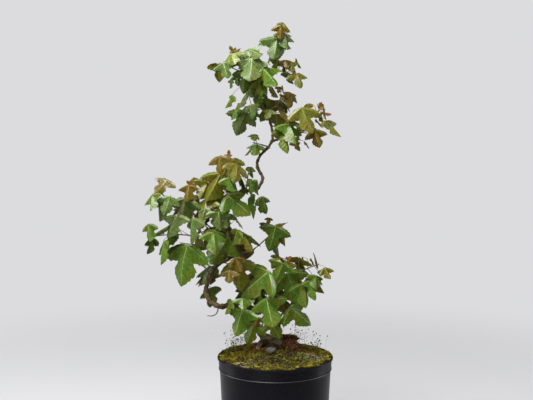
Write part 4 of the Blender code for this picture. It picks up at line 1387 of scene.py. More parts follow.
class Cover(Enum):
    """What covers the ground, as finishes in two tones."""

    EARTH = Matte("moist_earth", (0.014, 0.01, 0.005), (0.05, 0.036, 0.016), 260, 1500, 0.9, 0.2, 0.5)
    YELLOW = Matte("yellow_moss", (0.19, 0.16, 0.01), (0.52, 0.46, 0.045), 170, 2200, 0.9, 0.2)
    OLIVE = Matte("olive_moss", (0.07, 0.07, 0.006), (0.23, 0.205, 0.018), 170, 2200, 0.9, 0.2)
    GREEN = Matte("green_moss", (0.12, 0.16, 0.012), (0.36, 0.42, 0.06), 170, 2200, 0.9, 0.2)
    BROWN = Matte("brown_moss", (0.06, 0.032, 0.006), (0.2, 0.105, 0.02), 170, 2200, 0.9, 0.2)
    RUST = Matte("rust_strands", (0.17, 0.065, 0.012), (0.33, 0.14, 0.024), 400, 2200, 0.9, 0.2)
    BLACK_GRIT = Matte("black_grit", (0.01, 0.009, 0.009), (0.032, 0.028, 0.026), 500, 1800, 0.7)
    CREAM_GRIT = Matte("cream_grit", (0.18, 0.15, 0.08), (0.4, 0.35, 0.2), 500, 1800, 0.8)
    STONE = Matte("grey_stone", (0.042, 0.041, 0.036), (0.12, 0.117, 0.104), 240, 1400, 0.75, 0.4, 0.35)
    BARK = Matte("rotted_bark", (0.02, 0.009, 0.004), (0.12, 0.052, 0.02), 330, 1300, 0.9, 0.2, 0.5)
    STALK = Matte("moss_stalk", (0.1, 0.075, 0.02), (0.2, 0.15, 0.04), 400, 1500, 0.7)

    @property
    def slot(self) -> int:
        """Returns the cover's material number in the bed."""
        return list(Cover).index(self)


class Region(NamedTuple):
    """A round area of the ground with a share of a cover of its own."""

    x: float
    y: float
    radius: float
    cover: Cover
    share: float


REGIONS = [Region(*row) for row in (
    (-50, -12, 24, Cover.YELLOW, 0.95), (56, 8, 18, Cover.YELLOW, 0.6),
    (45, -22, 22, Cover.GREEN, 0.5), (-30, -38, 20, Cover.GREEN, 0.4),
    (31, -28, 9, Cover.GREEN, 0.9), (-20, 6, 16, Cover.RUST, 0.55),
    (8, -48, 30, Cover.OLIVE, 0.7), (38, 22, 18, Cover.BROWN, 0.6),
    (-8, 42, 24, Cover.OLIVE, 0.6), (2, -12, 13, Cover.BROWN, 0.5))]
GRIT_REGIONS = [Region(*row) for row in (
    (-58, 24, 18, Cover.BLACK_GRIT, 0.34), (-36, -53, 17, Cover.CREAM_GRIT, 0.3),
    (53, -14, 20, Cover.CREAM_GRIT, 0.34), (52, 30, 16, Cover.BLACK_GRIT, 0.12),
    (0, -30, 40, Cover.BLACK_GRIT, 0.1), (19, -9, 17, Cover.BARK, 0.34))]


@dataclass
class MossBed:
    """The ground in the pot: earth, moss, grit, dead strands and moss capsules."""

    edge: float = wall_radius(SOIL_TOP) - POT_WALL - GAP - 0.1
    rings: int = 92
    spokes: int = 232
    swell: float = 1.1
    brim: float = 0.9
    brim_width: float = 15
    tufts: int = 7000
    lip_tufts: int = 1500
    lip_reach: Span = (-1.5, 2.9)
    lip_scale: float = 0.6
    tuft_height: Span = (1, 3.2)
    tuft_width: Span = (0.8, 2.2)
    fronds: int = 7
    grit: int = 950
    grit_size: Span = (0.5, 1.35)
    strands: int = 230
    strand_radius: float = 0.17
    capsules: int = 120
    capsule_height: Span = (8, 30)
    sprig_twigs: int = 11
    knob_grains: int = 46
    capsule_groups: Rows = (
        (-55, 14, 12, 16), (-36, 30, 18, 14), (-46, 24, 16, 14), (24, 38, 16, 9), (52, 12, 9, 10))
    sprigs: Rows = (
        (33, 24, 25), (38, 16, 21), (55, 6, 20), (-57, 10, 21), (-30, 30, 24),
        (27, 34, 19), (-46, 26, 17))
    bed: MeshParts = field(default_factory=MeshParts)
    crowns: MeshParts = field(default_factory=MeshParts)
    litter: MeshParts = field(default_factory=MeshParts)

    def on_moss(self, x: float, y: float, lift: float = 0) -> Vector:
        """Finds the place on the cushions of moss.

        Args:
            x: Place to the right.
            y: Place to the back.
            lift: Height above the moss.

        Returns:
            The place.
        """
        cushion = noise(Vector((x, y, 0)) / 9) + 0.5 * noise(Vector((x, y, 7)) / 3.6)
        near = max(0, 1 - (self.edge - hypot(x, y)) / self.brim_width)
        rise = self.swell * cushion + self.brim * near * near * (3 - 2 * near)
        return Vector((x, y, ground_height(x, y) + rise + lift))

    def build(self) -> None:
        """Builds the bed and dresses it."""
        for add in (self._surface, self._tufts, self._grit, self._strands, self._capsules,
                    self._sprigs, self._knob):
            add()
        materials = [cover.value.material() for cover in Cover]
        mounted(self.bed.build("moss_bed", materials), ["moss"])
        mounted(self.crowns.build("moss_tufts", materials))
        mounted(self.litter.build("moss_litter", materials, 35))

    def _surface(self) -> None:
        """Adds the cushioned surface and its flat underside."""
        points = []
        for row in range(1, self.rings + 1):
            for spoke in range(self.spokes):
                x, y, _ = polar(self.edge * row / self.rings, tau * spoke / self.spokes)
                points.append(self.on_moss(x, y, 0.35 * noise(Vector((x, y, 3)) / 1.3)))
        points += [Vector((x, y, SOIL_TOP + GAP)) for x, y, _ in points[-self.spokes:]]
        count = len(points)
        points += [self.on_moss(0, 0), Vector((0, 0, SOIL_TOP + GAP))]
        sides = [face[::-1] for face in hoop_faces(self.rings + 1, self.spokes)]
        under = [face[::-1] for face in fan(count - self.spokes, self.spokes, count + 1)]
        slot = Cover.EARTH.slot
        self.bed.add(points, (sides, slot), (fan(0, self.spokes, count) + under, slot))

    def _cover_at(self, x: float, y: float, draw: Draw) -> Cover:
        """Draws the kind of moss at a place.

        Args:
            x: Place to the right.
            y: Place to the back.
            draw: Random numbers.

        Returns:
            The cover.
        """
        for region in REGIONS:
            near = hypot(x - region.x, y - region.y) / region.radius
            if near < 1 and draw.random() < region.share * (1.2 - near):
                return region.cover
        waves = noise(Vector((x, y, 11)) / 7) + draw(-0.16, 0.16)
        if draw.random() < 0.1:
            return draw.choice((Cover.BROWN, Cover.RUST, Cover.GREEN))
        if waves < -0.24:
            return Cover.BROWN
        return Cover.YELLOW if waves > 0 else Cover.OLIVE

    def _tufts(self) -> None:
        """Adds tufts of moss: small crowns of pointed fronds."""
        draw = Draw(41)
        points, faces, slots = [], [], []
        for index in range(self.tufts + self.lip_tufts):
            angle = draw(0, tau)
            radius = self.edge * sqrt(draw.random()) * 0.985
            if index >= self.tufts:
                radius = self.edge + draw(*self.lip_reach)
                if noise(polar(3, angle, 15)) < -0.12:
                    continue
            x, y, _ = polar(radius, angle)
            if any(hypot(x - grit.x, y - grit.y) < grit.radius * draw(0.35, 1)
                   and draw.random() < grit.share * 2.6 for grit in GRIT_REGIONS):
                continue
            bare = noise(Vector((x, y, 23)) / 4.5) < -0.26 + 0.1 * draw.random()
            if bare and radius < self.edge - 8:
                continue
            root = self.on_moss(x, y, -0.3)
            scale = 1
            if radius > self.edge - 1.6:
                root.z = max(root.z, POT_HEIGHT + 0.1)
                scale = self.lip_scale
            slot = self._cover_at(x, y, draw).slot
            tall = draw(*self.tuft_height) * scale
            wide = draw(*self.tuft_width) * scale
            start = draw(0, tau)
            for frond in range(self.fronds):
                turn = start + tau * frond / self.fronds + draw(-0.4, 0.4)
                out = wide * draw(0.6, 1.2)
                half = polar(wide * 0.34, turn + pi / 2)
                first = len(points)
                points += [root + half, root - half, root + polar(out, turn, tall * draw(0.65, 1.1)),
                           root + polar(out * 0.45, turn, tall * 0.3)]
                faces += [(first, first + 1, first + 2), (first + 1, first + 3, first + 2),
                          (first + 3, first, first + 2)]
                slots += [slot] * 3
        self.crowns.add(points, (faces, slots))

    def _grit(self) -> None:
        """Adds grains of grit that lie half sunk in the moss."""
        draw = Draw(42)
        for _ in range(self.grit):
            region = draw.choices(GRIT_REGIONS, [grit.share for grit in GRIT_REGIONS])[0]
            angle = draw(0, tau)
            x, y, _ = polar(region.radius * sqrt(draw.random()), angle) + Vector((region.x, region.y, 0))
            size = draw(*self.grit_size)
            if hypot(x, y) + size <= self.edge:
                self.litter.grain(self.on_moss(x, y, size * 0.3), size, draw, region.cover.slot)

    def _strands(self) -> None:
        """Adds dead strands and rootlets that lie on the moss."""
        draw = Draw(43)
        for index in range(self.strands):
            if index < self.strands // 2:
                x, y = draw.gauss(-20, 9), draw.gauss(2, 8)
            else:
                angle = draw(0, tau)
                x, y, _ = polar(self.edge * sqrt(draw.random()) * 0.9, angle)
            turn = draw(0, tau)
            path = []
            for step in range(6):
                lift = 0.9 + 1.1 * sin(pi * step / 5) * draw(0.3, 1)
                if hypot(x, y) < self.edge - 1.5:
                    path.append((self.on_moss(x, y, lift), self.strand_radius))
                turn += draw(-0.7, 0.7)
                x += cos(turn) * 1.7
                y += sin(turn) * 1.7
            if len(path) > 2:
                cover = draw.choice((Cover.RUST, Cover.RUST, Cover.STALK, Cover.BROWN))
                self.litter.tube(path, 4, cover.slot)

    def _capsules(self) -> None:
        """Adds moss capsules, each a small head on a hair stem."""
        draw = Draw(44)
        for index in range(self.capsules):
            x, y, wide, deep = self.capsule_groups[index % len(self.capsule_groups)]
            x, y = draw.gauss(x, wide * 0.5), draw.gauss(y, deep * 0.5)
            if hypot(x, y) > self.edge - 3:
                continue
            tall = draw(*self.capsule_height)
            lean = Vector((draw(-1, 1), draw(-1, 1), 0)) * 0.22 * tall
            start = self.on_moss(x, y)
            path = [(start + UP * tall * step / 4 + lean * (step / 4) ** 2, 0.09) for step in range(5)]
            slot = (Cover.STALK if index % 3 else Cover.GREEN).slot
            self.litter.tube(path, 4, slot)
            head = path[-1][0]
            tip = head + (lean.normalized() * 0.5 + UP) * draw(1.3, 2.4)
            body = ((0, 0.22), (0.35, 0.74), (0.75, 0.6), (1, 0.14))
            self.litter.tube([(head.lerp(tip, share), radius) for share, radius in body], 6, slot)

    def _sprigs(self) -> None:
        """Adds fine branched sprigs with small heads."""
        draw = Draw(47)
        slot = Cover.STALK.slot
        for x, y, tall in self.sprigs:
            start = self.on_moss(x, y)
            lean = Vector((draw(-0.4, 0.4), draw(-0.3, 0.3), 1)).normalized() * tall
            stem = [(start + lean * share, 0.16 - 0.07 * share) for share in (0, 0.3, 0.6, 0.85, 1)]
            self.litter.tube(stem, 4, slot)
            for twig in range(self.sprig_twigs):
                root = start + lean * (0.35 + 0.06 * twig)
                way = polar(1, twig * 2.4 + draw(-0.5, 0.5), 0.6).normalized()
                tip = root + way * draw(2.5, 6) * (1.1 - 0.05 * twig)
                middle = root.lerp(tip, 0.5) + UP * 0.3
                self.litter.tube([(root, 0.09), (middle, 0.08), (tip, 0.07)], 4, slot)
                head = [(tip, 0.2), (tip + way * 0.7, 0.62), (tip + way * 1.5, 0.12)]
                self.litter.tube(head, 5, Cover.GREEN.slot)

    def _knob(self) -> None:
        """Adds a small knob of rusty moss."""
        draw = Draw(45)
        knob = self.on_moss(46, -2, 1.6)
        for _ in range(self.knob_grains):
            place = Vector((draw.gauss(0, 2.6), draw.gauss(0, 2.2), draw.gauss(0, 1.3)))
            self.litter.grain(knob + place, draw(0.8, 1.7), draw, Cover.RUST.slot)


@dataclass
class GroundLump:
    """A piece that lies on the moss and fills its solid's box."""

    node: str
    parts: MeshParts = field(default_factory=MeshParts)

    def __post_init__(self) -> None:
        """Measures the solid's box in millimetres."""
        low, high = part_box(self.node)
        self.middle, self.half = (low + high) / 2 / MM, (high - low) / 2 / MM

    def core(self, fineness: int, size_of: Callable[[Vector], float]) -> None:
        """Adds the core, flat where it rests.

        Args:
            fineness: How often it is divided.
            size_of: Gives its size in a direction, as a share of the box.
        """
        ways, faces = ball(fineness)
        points = [way * self.half * size_of(way) for way in ways]
        for point in points:
            point.z = max(point.z, -self.half.z)
        self.parts.add([self.middle + point for point in points], (faces, 0))


@dataclass
class Stone(GroundLump):
    """The grey stone, split and worn."""

    node: str = "stone"
    facets: Rows = (
        (1, 0.2, 0.5), (-0.8, 0.4, 0.6), (-0.1, -1, 0.5), (0.2, 1, 0.3), (0.1, -0.2, 1),
        (-0.7, -0.8, 0.1), (0.8, -0.7, -0.2), (0, 0, -1), (0.5, 0.9, -0.3), (-1, 0, -0.4))

    def size_in(self, way: Vector) -> float:
        """Returns the stone's size in a direction."""
        split = 0.837 / max(0.6, *(way.dot(Vector(facet).normalized()) for facet in self.facets))
        return split + 0.05 * noise(way * 2.2) + 0.02 * noise(way * 9)

    def build(self) -> None:
        """Builds the stone."""
        self.core(5, self.size_in)
        mounted(self.parts.build("worn_stone", [Cover.STONE.value.material()], 40), [self.node])


@dataclass
class BarkHeap(GroundLump):
    """The heap of rotted bark, whose crumbs have spilled over the moss."""

    node: str = "bark_mound"
    crumbs: int = 520
    crumb_size: Span = (0.7, 2.3)
    spills: Rows = ((14, 17, 20, 4, 600), (19, -7, 15, 9.5, 1200))
    covers: tuple[Cover, ...] = (Cover.BARK, Cover.RUST, Cover.BROWN)

    def build(self) -> None:
        """Builds the heap."""
        draw = Draw(46)
        self.core(4, lambda way: 0.82 + 0.16 * noise(way * 2.1))
        for _ in range(self.crumbs):
            way = Vector((draw.gauss(0, 1), draw.gauss(0, 1), draw.gauss(0.25, 0.8))).normalized()
            size = draw(*self.crumb_size)
            place = self.middle + way * self.half * draw(0.76, 1.02)
            self.parts.grain(place, size, draw, 0 if draw.random() < 0.86 else 1)
        bed = MossBed()
        for across, back, reach, tall, count in self.spills:
            for _ in range(count):
                turn, far = draw(0, tau), sqrt(draw.random())
                size = draw(*self.crumb_size) * (1 - 0.45 * far)
                lift = draw(0.6, 1) * tall * (1 - far ** 4)
                x, y, _ = polar(far * reach, turn) + Vector((across, back, 0))
                place = bed.on_moss(x, y, size * 0.5 + lift)
                self.parts.grain(place, size, draw, draw.choices((0, 1, 2), (0.74, 0.14, 0.12))[0])
        woods = [cover.value.material() for cover in self.covers]
        mounted(self.parts.build("rotted_bark_heap", woods, 35), [self.node])


@dataclass
class SoilFinish:
    """The soil under the moss, dressed in place."""

    node: str = "soil"
    finish: Matte = Matte("potting_soil", (0.016, 0.011, 0.008), (0.055, 0.038, 0.026),
                          300, 1500, 0.92, 0.25, 0.5)

    def build(self) -> None:
        """Puts the earth finish on the solid."""
        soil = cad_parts[self.node]
        soil.data.materials.clear()
        soil.data.materials.append(self.finish.material())
        LOG.info("%s: dressed in place", self.node)


@dataclass
class TrunkAndBoughs:
    """The trunk, surface roots and boughs in one skin of bark, and the green leader."""

    step: float = 1.1
    voxel: float = 0.62
    collar: float = 0.55
    collar_length: float = 4
    first_node: Span = (5, 9)
    node_gap: Span = (6, 12)
    node_width: float = 0.9
    knuckle: float = 0.3
    kink: float = 0.85
    knot_at: float = 0.985
    knot_stubs: int = 11
    trunk_sides: int = 20
    bough_sides: int = 14
    foot_below: float = 6
    foot_flare: float = 1.1
    waves: Rows = ((6, 0.45), (2.4, 0.42), (1.1, 0.2))
    bark: BarkFinish = BarkFinish("maple_bark", (0.048, 0.034, 0.014), (0.205, 0.155, 0.082),
                                  (0.34, 0.295, 0.195), (0.115, 0.11, 0.024), 0.42, gloss=0.12)
    young: BarkFinish = BarkFinish("young_green_bark", (0.11, 0.12, 0.026), (0.19, 0.2, 0.05),
                                   (0.22, 0.2, 0.11), (0.12, 0.07, 0.034), 0.3, 700, 0.12)
    dead: BarkFinish = BarkFinish("dead_wood", (0.11, 0.09, 0.072), (0.23, 0.2, 0.17),
                                  (0.33, 0.3, 0.26), (0.09, 0.08, 0.06), 0.3, 800, 0.15)
    wood: MeshParts = field(default_factory=MeshParts)

    def build(self) -> None:
        """Builds the bark skin, the leader and the dead twig."""
        whole = smooth(TRUNK)
        leader_from = TRUNK_PARTS[-1][1] * CURVE_STEPS
        trunk = resampled(self._sunk(whole[:leader_from + 2]), self.step)
        self.wood.tube(self._knuckled(trunk, 3), self.trunk_sides)
        for root in ROOTS:
            self.wood.tube(resampled(smooth(root), self.step), self.trunk_sides)
        *limbs, twig = BOUGHS
        for index, bough in enumerate(limbs):
            path = resampled(smooth(bough.bends), self.step)
            if bough.host:
                path = [(place, radius * (1 + self.collar * exp(-row * self.step / self.collar_length)))
                        for row, (place, radius) in enumerate(path)]
            else:
                path = self._sunk(path)
            self.wood.tube(self._knuckled(path, 11 + index), self.bough_sides)
        self._knot()
        nodes = ["trunk_foot", "trunk_lower", "trunk_upper"] + [bough.name for bough in limbs]
        mounted(shown(self._fused(), "trunk_and_boughs", [self.bark.material()]), nodes)
        for piece, path, step, sides, seed, finish, slot, node in (
                ("leader_shoot", whole[leader_from:], 0.8, 16, 31, self.young, "young_bark", "leader"),
                ("dead_side_twig", smooth(twig.bends), 0.5, 10, 51, self.dead, "dead_wood", twig.name)):
            parts = MeshParts()
            parts.tube(self._knuckled(resampled(path, step), seed), sides)
            mounted(parts.build(piece, [finish.material()]), [node])

    def _sunk(self, path: Path) -> Path:
        """Returns a path that starts lower and wider, in the ground."""
        return [(path[0][0] - UP * self.foot_below, path[0][1] * self.foot_flare)] + path

    def _knot(self) -> None:
        """Adds the knot of old buds where the trunk turns back to the right."""
        draw = Draw(61)
        centre, radius, _ = place_at(split_trunk()["trunk_lower"], self.knot_at)
        for _ in range(self.knot_stubs):
            way = Vector((draw.gauss(0, 1), draw.gauss(0, 1), draw.gauss(0, 0.8))).normalized()
            root = centre + Vector((draw(-4, 4), 0, draw(-2, 2)))
            tip = root + way * (radius + draw(0.6, 2.6))
            self.wood.tube([(root, 1.5), (root.lerp(tip, 0.6), draw(1, 1.8)), (tip, 0.7)], 10)

    def _knuckled(self, path: Path, seed: int) -> Path:
        """Swells a limb at its old leaf nodes.

        Args:
            path: The path.
            seed: Seed of its nodes.

        Returns:
            The uneven path.
        """
        draw = Draw(seed)
        rows = []
        last_node, next_node = 0, draw(*self.first_node)
        last_kink = next_kink = Vector((0, 0, 0))
        run = 0
        for index, (place, radius) in enumerate(path):
            run += (place - path[index - 1][0]).length if index else 0
            if run > next_node:
                last_node, next_node = next_node, next_node + draw(*self.node_gap)
                last_kink = next_kink
                next_kink = Vector((draw(-1, 1), draw(-0.5, 0.5), draw(-1, 1)))
            near = min(run - last_node, next_node - run) / self.node_width
            bump = exp(-near ** 2) if index else 0
            share = (run - last_node) / (next_node - last_node)
            thin = min(max((4.5 - radius) / 2, 0), 1) * min(index / 6, (len(path) - 1 - index) / 6, 1)
            kink = last_kink.lerp(next_kink, share) * self.kink * thin
            uneven = 1 + 0.08 * noise(place / 7 + Vector((seed, 0, 0)))
            rows.append((place + kink, radius * uneven * (1 + self.knuckle * bump)))
        return rows

    def _fused(self) -> Mesh:
        """Fuses the limbs into one skin with the bark's relief.

        Returns:
            The fused mesh.
        """
        piece = self.wood.build("limbs")
        remesh = piece.modifiers.new("fuse", "REMESH")
        remesh.mode = "VOXEL"
        remesh.voxel_size = self.voxel * MM
        soften = piece.modifiers.new("soften", "SMOOTH")
        soften.factor = 0.5
        soften.iterations = 4
        mesh = evaluated(piece)
        moved = []
        for vert in mesh.vertices:
            place = vert.co / MM
            relief = [height * noise(place / size + Vector((5, 5, 5)))
                      for size, height in self.waves]
            moved.append(vert.co + vert.normal * sum(relief) * MM)
        mesh.vertices.foreach_set("co", np.array(moved).ravel())
        mesh.update()
        return mesh


def vein(start_width: float, end_width: float, *points: Span) -> Path:
    """Returns a vein's path through points of a leaf, with half its width at each."""
    shares = [index / (len(points) - 1) for index in range(len(points))]
    return [(Vector((*point, 0)), (start_width + (end_width - start_width) * share) / 2)
            for point, share in zip(points, shares)]


def mirrored(path: Path) -> Path:
    """Returns the vein on the leaf's other side."""
    return [(Vector((-place.x, place.y, 0)), half) for place, half in path]


def off_vein(point: Sequence[float], path: Path) -> float:
    """Returns the distance from a point to a vein's middle line."""
    return distance_outside(Vector((*point, 0)), [(place, 0) for place, _ in path])


def strip_of(path: Path) -> list[Span]:
    """Returns a vein's outline, out along one side and back along the other."""
    rows = [(place, Vector((along.y, -along.x, 0)) * half)
            for (place, half), along in zip(path, directions(path))]
    return [tuple((place + out * side).xy) for side in (1, -1) for place, out in rows[::side]]


def inside(point: Sequence[float], loop: Sequence[Span]) -> bool:
    """Tests whether a point is inside a closed line.

    Args:
        point: The point.
        loop: The line's points.

    Returns:
        True where it is inside.
    """
    x, y = point
    within = False
    for (ax, ay), (bx, by) in zip(loop, [*loop[1:], loop[0]]):
        if (ay > y) != (by > y) and x < (bx - ax) * (y - ay) / (by - ay) + ax:
            within = not within
    return within


@dataclass
class LeafShape:
    """A flat trident maple leaf in shares of its length, with its veins."""

    half: Rows = (
        (0.07, -0.028), (0.18, -0.055), (0.3, -0.05), (0.4, -0.01), (0.47, -0.005), (0.545, 0.055),
        (0.6, 0.07), (0.655, 0.14), (0.715, 0.235), (0.645, 0.235), (0.6, 0.285), (0.53, 0.27),
        (0.47, 0.325), (0.4, 0.305), (0.33, 0.35), (0.262, 0.372), (0.232, 0.41), (0.25, 0.47),
        (0.3, 0.52), (0.335, 0.59), (0.298, 0.615), (0.3, 0.675), (0.265, 0.745), (0.225, 0.755),
        (0.205, 0.83), (0.155, 0.85), (0.115, 0.915), (0.05, 0.965))
    spacing: float = 0.05
    inner_spacing: float = 0.072
    lobe_turn: Span = (-6, 17)
    lobe_growth: Span = (-0.12, 0.08)
    lobe_sag: Span = (-0.02, 0.2)
    tip_aside: Span = (-0.09, 0.09)
    narrowing: Span = (-0.06, 0.13)
    keel_depth: Span = (0.22, 0.7)
    tip_sag: Span = (-0.1, 0.28)
    edge_waves: tuple[int, ...] = (5, 6, 7)
    wave_height: Span = (0.012, 0.034)
    side_sag: Span = (0, 0.12)
    midrib: tuple[Row, ...] = (*vein(0.024, 0.005, (0, 0), (0, 0.35), (0, 0.7), (0, 0.965)),)
    side_veins: tuple[Path, ...] = (
        vein(0.019, 0.004, (0.004, 0.004), (0.22, 0.045), (0.43, 0.105), (0.64, 0.19)),
        vein(0.008, 0.003, (0.003, 0.25), (0.1, 0.33), (0.205, 0.375)),
        vein(0.008, 0.003, (0.003, 0.4), (0.12, 0.49), (0.255, 0.56)),
        vein(0.008, 0.003, (0.003, 0.55), (0.11, 0.64), (0.235, 0.7)),
        vein(0.007, 0.003, (0.003, 0.7), (0.07, 0.77), (0.15, 0.825)),
        vein(0.007, 0.003, (0.22, 0.047), (0.27, 0.13), (0.29, 0.24)),
        vein(0.007, 0.003, (0.38, 0.092), (0.43, 0.17), (0.455, 0.255)),
        vein(0.006, 0.003, (0.2, 0.04), (0.27, 0.01), (0.33, -0.01)),
    )

    def __post_init__(self) -> None:
        """Meshes the blade, and measures its points from its veins, edge and lobes."""
        outline = self._outline()
        veins = [list(self.midrib)] + [twin for path in self.side_veins for twin in (path, mirrored(path))]
        strips = [strip_of(path) for path in veins]
        places = list(outline)
        edges = []
        for strip in strips:
            edges += [(a + len(places), b + len(places)) for a, b, _ in fan(0, len(strip), 0)]
            places += strip
        places += self._inside(outline, veins)
        loop = list(range(len(outline)))
        places = [Vector(place) for place in places]
        points, _, faces, *_ = geometry.delaunay_2d_cdt(places, edges, [loop], 1, 1e-5)
        self.points, self.faces = np.array(points), np.array([tuple(face) for face in faces])
        middles = self.points[self.faces].mean(axis=1)
        self.on_vein = np.array([any(inside(middle, strip) for strip in strips) for middle in middles])
        self.rim = self._rim()
        off = np.array([[off_vein(point, path) for path in veins] for point in self.points])
        self.gutter = np.exp(-(off.min(axis=1) / 0.022) ** 2)
        self.keel = off[:, :3].min(axis=1)
        reach = np.array([np.hypot(*(self.points[self.rim] - point).T).min() for point in self.points])
        self.edge = 1 - np.clip(reach / 0.09, 0, 1)
        angle = np.degrees(np.arctan2(np.abs(self.points[:, 0]), np.maximum(self.points[:, 1], 1e-6)))
        share = np.clip((angle - 26) / 30, 0, 1)
        self.lobe = share * share * (3 - 2 * share)
        LOG.info("leaf shape: %d points, %d faces", len(self.points), len(self.faces))

    def _outline(self) -> list[Span]:
        """Draws the outline in short steps.

        Returns:
            Its points.
        """
        keys = [(0, 0), *self.half, (0, 1), *((-x, y) for x, y in reversed(self.half))]
        points = []
        for (ax, ay), (bx, by) in zip(keys, keys[1:] + keys[:1]):
            count = max(int(dist((ax, ay), (bx, by)) / self.spacing), 1)
            points += [(ax + (bx - ax) * step / count, ay + (by - ay) * step / count)
                       for step in range(count)]
        return points

    def _inside(self, outline: list[Span], veins: list[Path]) -> list[Span]:
        """Sets points inside the outline, off the veins.

        Args:
            outline: The outline's points.
            veins: All veins.

        Returns:
            The points.
        """
        height = self.inner_spacing * 0.87
        grid = [((column + 0.5 * (row % 2)) * self.inner_spacing, row * height - 0.06)
                for row in range(int(1.2 / height)) for column in range(-11, 12)]
        return [place for place in grid if min(dist(place, point) for point in outline) > 0.03
                and min(off_vein(place, path) for path in veins) > 0.02 and inside(place, outline)]

    def _rim(self) -> list[int]:
        """Walks round the edge of the flat mesh.

        Returns:
            Its points in order.
        """
        pairs = {(int(face[corner]), int(face[corner - 2])) for face in self.faces for corner in range(3)}
        following = {start: end for start, end in pairs if (end, start) not in pairs}
        rim = [min(following)]
        while following[rim[-1]] != rim[0]:
            rim.append(following[rim[-1]])
        return rim

    def bent(self, leaf: Leaf, draw: Draw) -> tuple[np.ndarray, np.ndarray]:
        """Bends the blade to a leaf's sag, fold and lobes.

        Args:
            leaf: The leaf.
            draw: Random numbers.

        Returns:
            Points of the middle surface, and the direction out of each.
        """
        x, y = self.points.T.copy()
        blade = 1 - self.lobe
        forward = draw(*self.lobe_turn)
        growth = draw(*self.lobe_growth)
        for side in (1, -1):
            turn = radians(forward + draw(-5, 5)) * self.lobe * (x * side > 0)
            size = 1 + (growth + draw(-0.06, 0.06)) * self.lobe * (x * side > 0)
            ahead, aside = np.cos(turn), np.sin(turn) * side
            x, y = (x * ahead - y * aside) * size, (x * aside + y * ahead) * size
        x += draw(*self.tip_aside) * np.clip(y, 0, 1) ** 2 * blade
        x *= 1 - draw(*self.narrowing) * blade * np.clip(y * 2.2, 0, 1)
        sag = leaf.droop * y * y + leaf.fold * np.abs(x)
        sag += self.keel * draw(*self.keel_depth)
        for side in (1, -1):
            sag += draw(*self.lobe_sag) * self.lobe * x * x * (x * side > 0)
        sag += draw(*self.tip_sag) * np.clip(y - 0.55, 0, 1) ** 2
        wave = np.sin(np.arctan2(x, y - 0.1) * draw.choice(self.edge_waves) + draw(0, tau))
        sag += wave * self.edge * draw(*self.wave_height)
        sag += self.gutter * (0.016 if leaf.age > 1 else 0.01)
        sag += np.abs(x) * blade * draw(*self.side_sag)
        midrib, face = np.array(leaf.midrib), np.array(leaf.face)
        across = np.array(leaf.midrib.cross(leaf.face))
        flat = np.outer(x, across) + np.outer(y, midrib) - np.outer(sag, face)
        points = np.array(leaf.base) + leaf.length * flat
        corners = points[self.faces]
        flat = np.cross(corners[:, 1] - corners[:, 0], corners[:, 2] - corners[:, 0])
        flat *= np.sign(flat @ face)[:, None]
        normals = np.zeros_like(points)
        for corner in range(3):
            np.add.at(normals, self.faces[:, corner], flat)
        return points, normals / np.linalg.norm(normals, axis=1)[:, None]


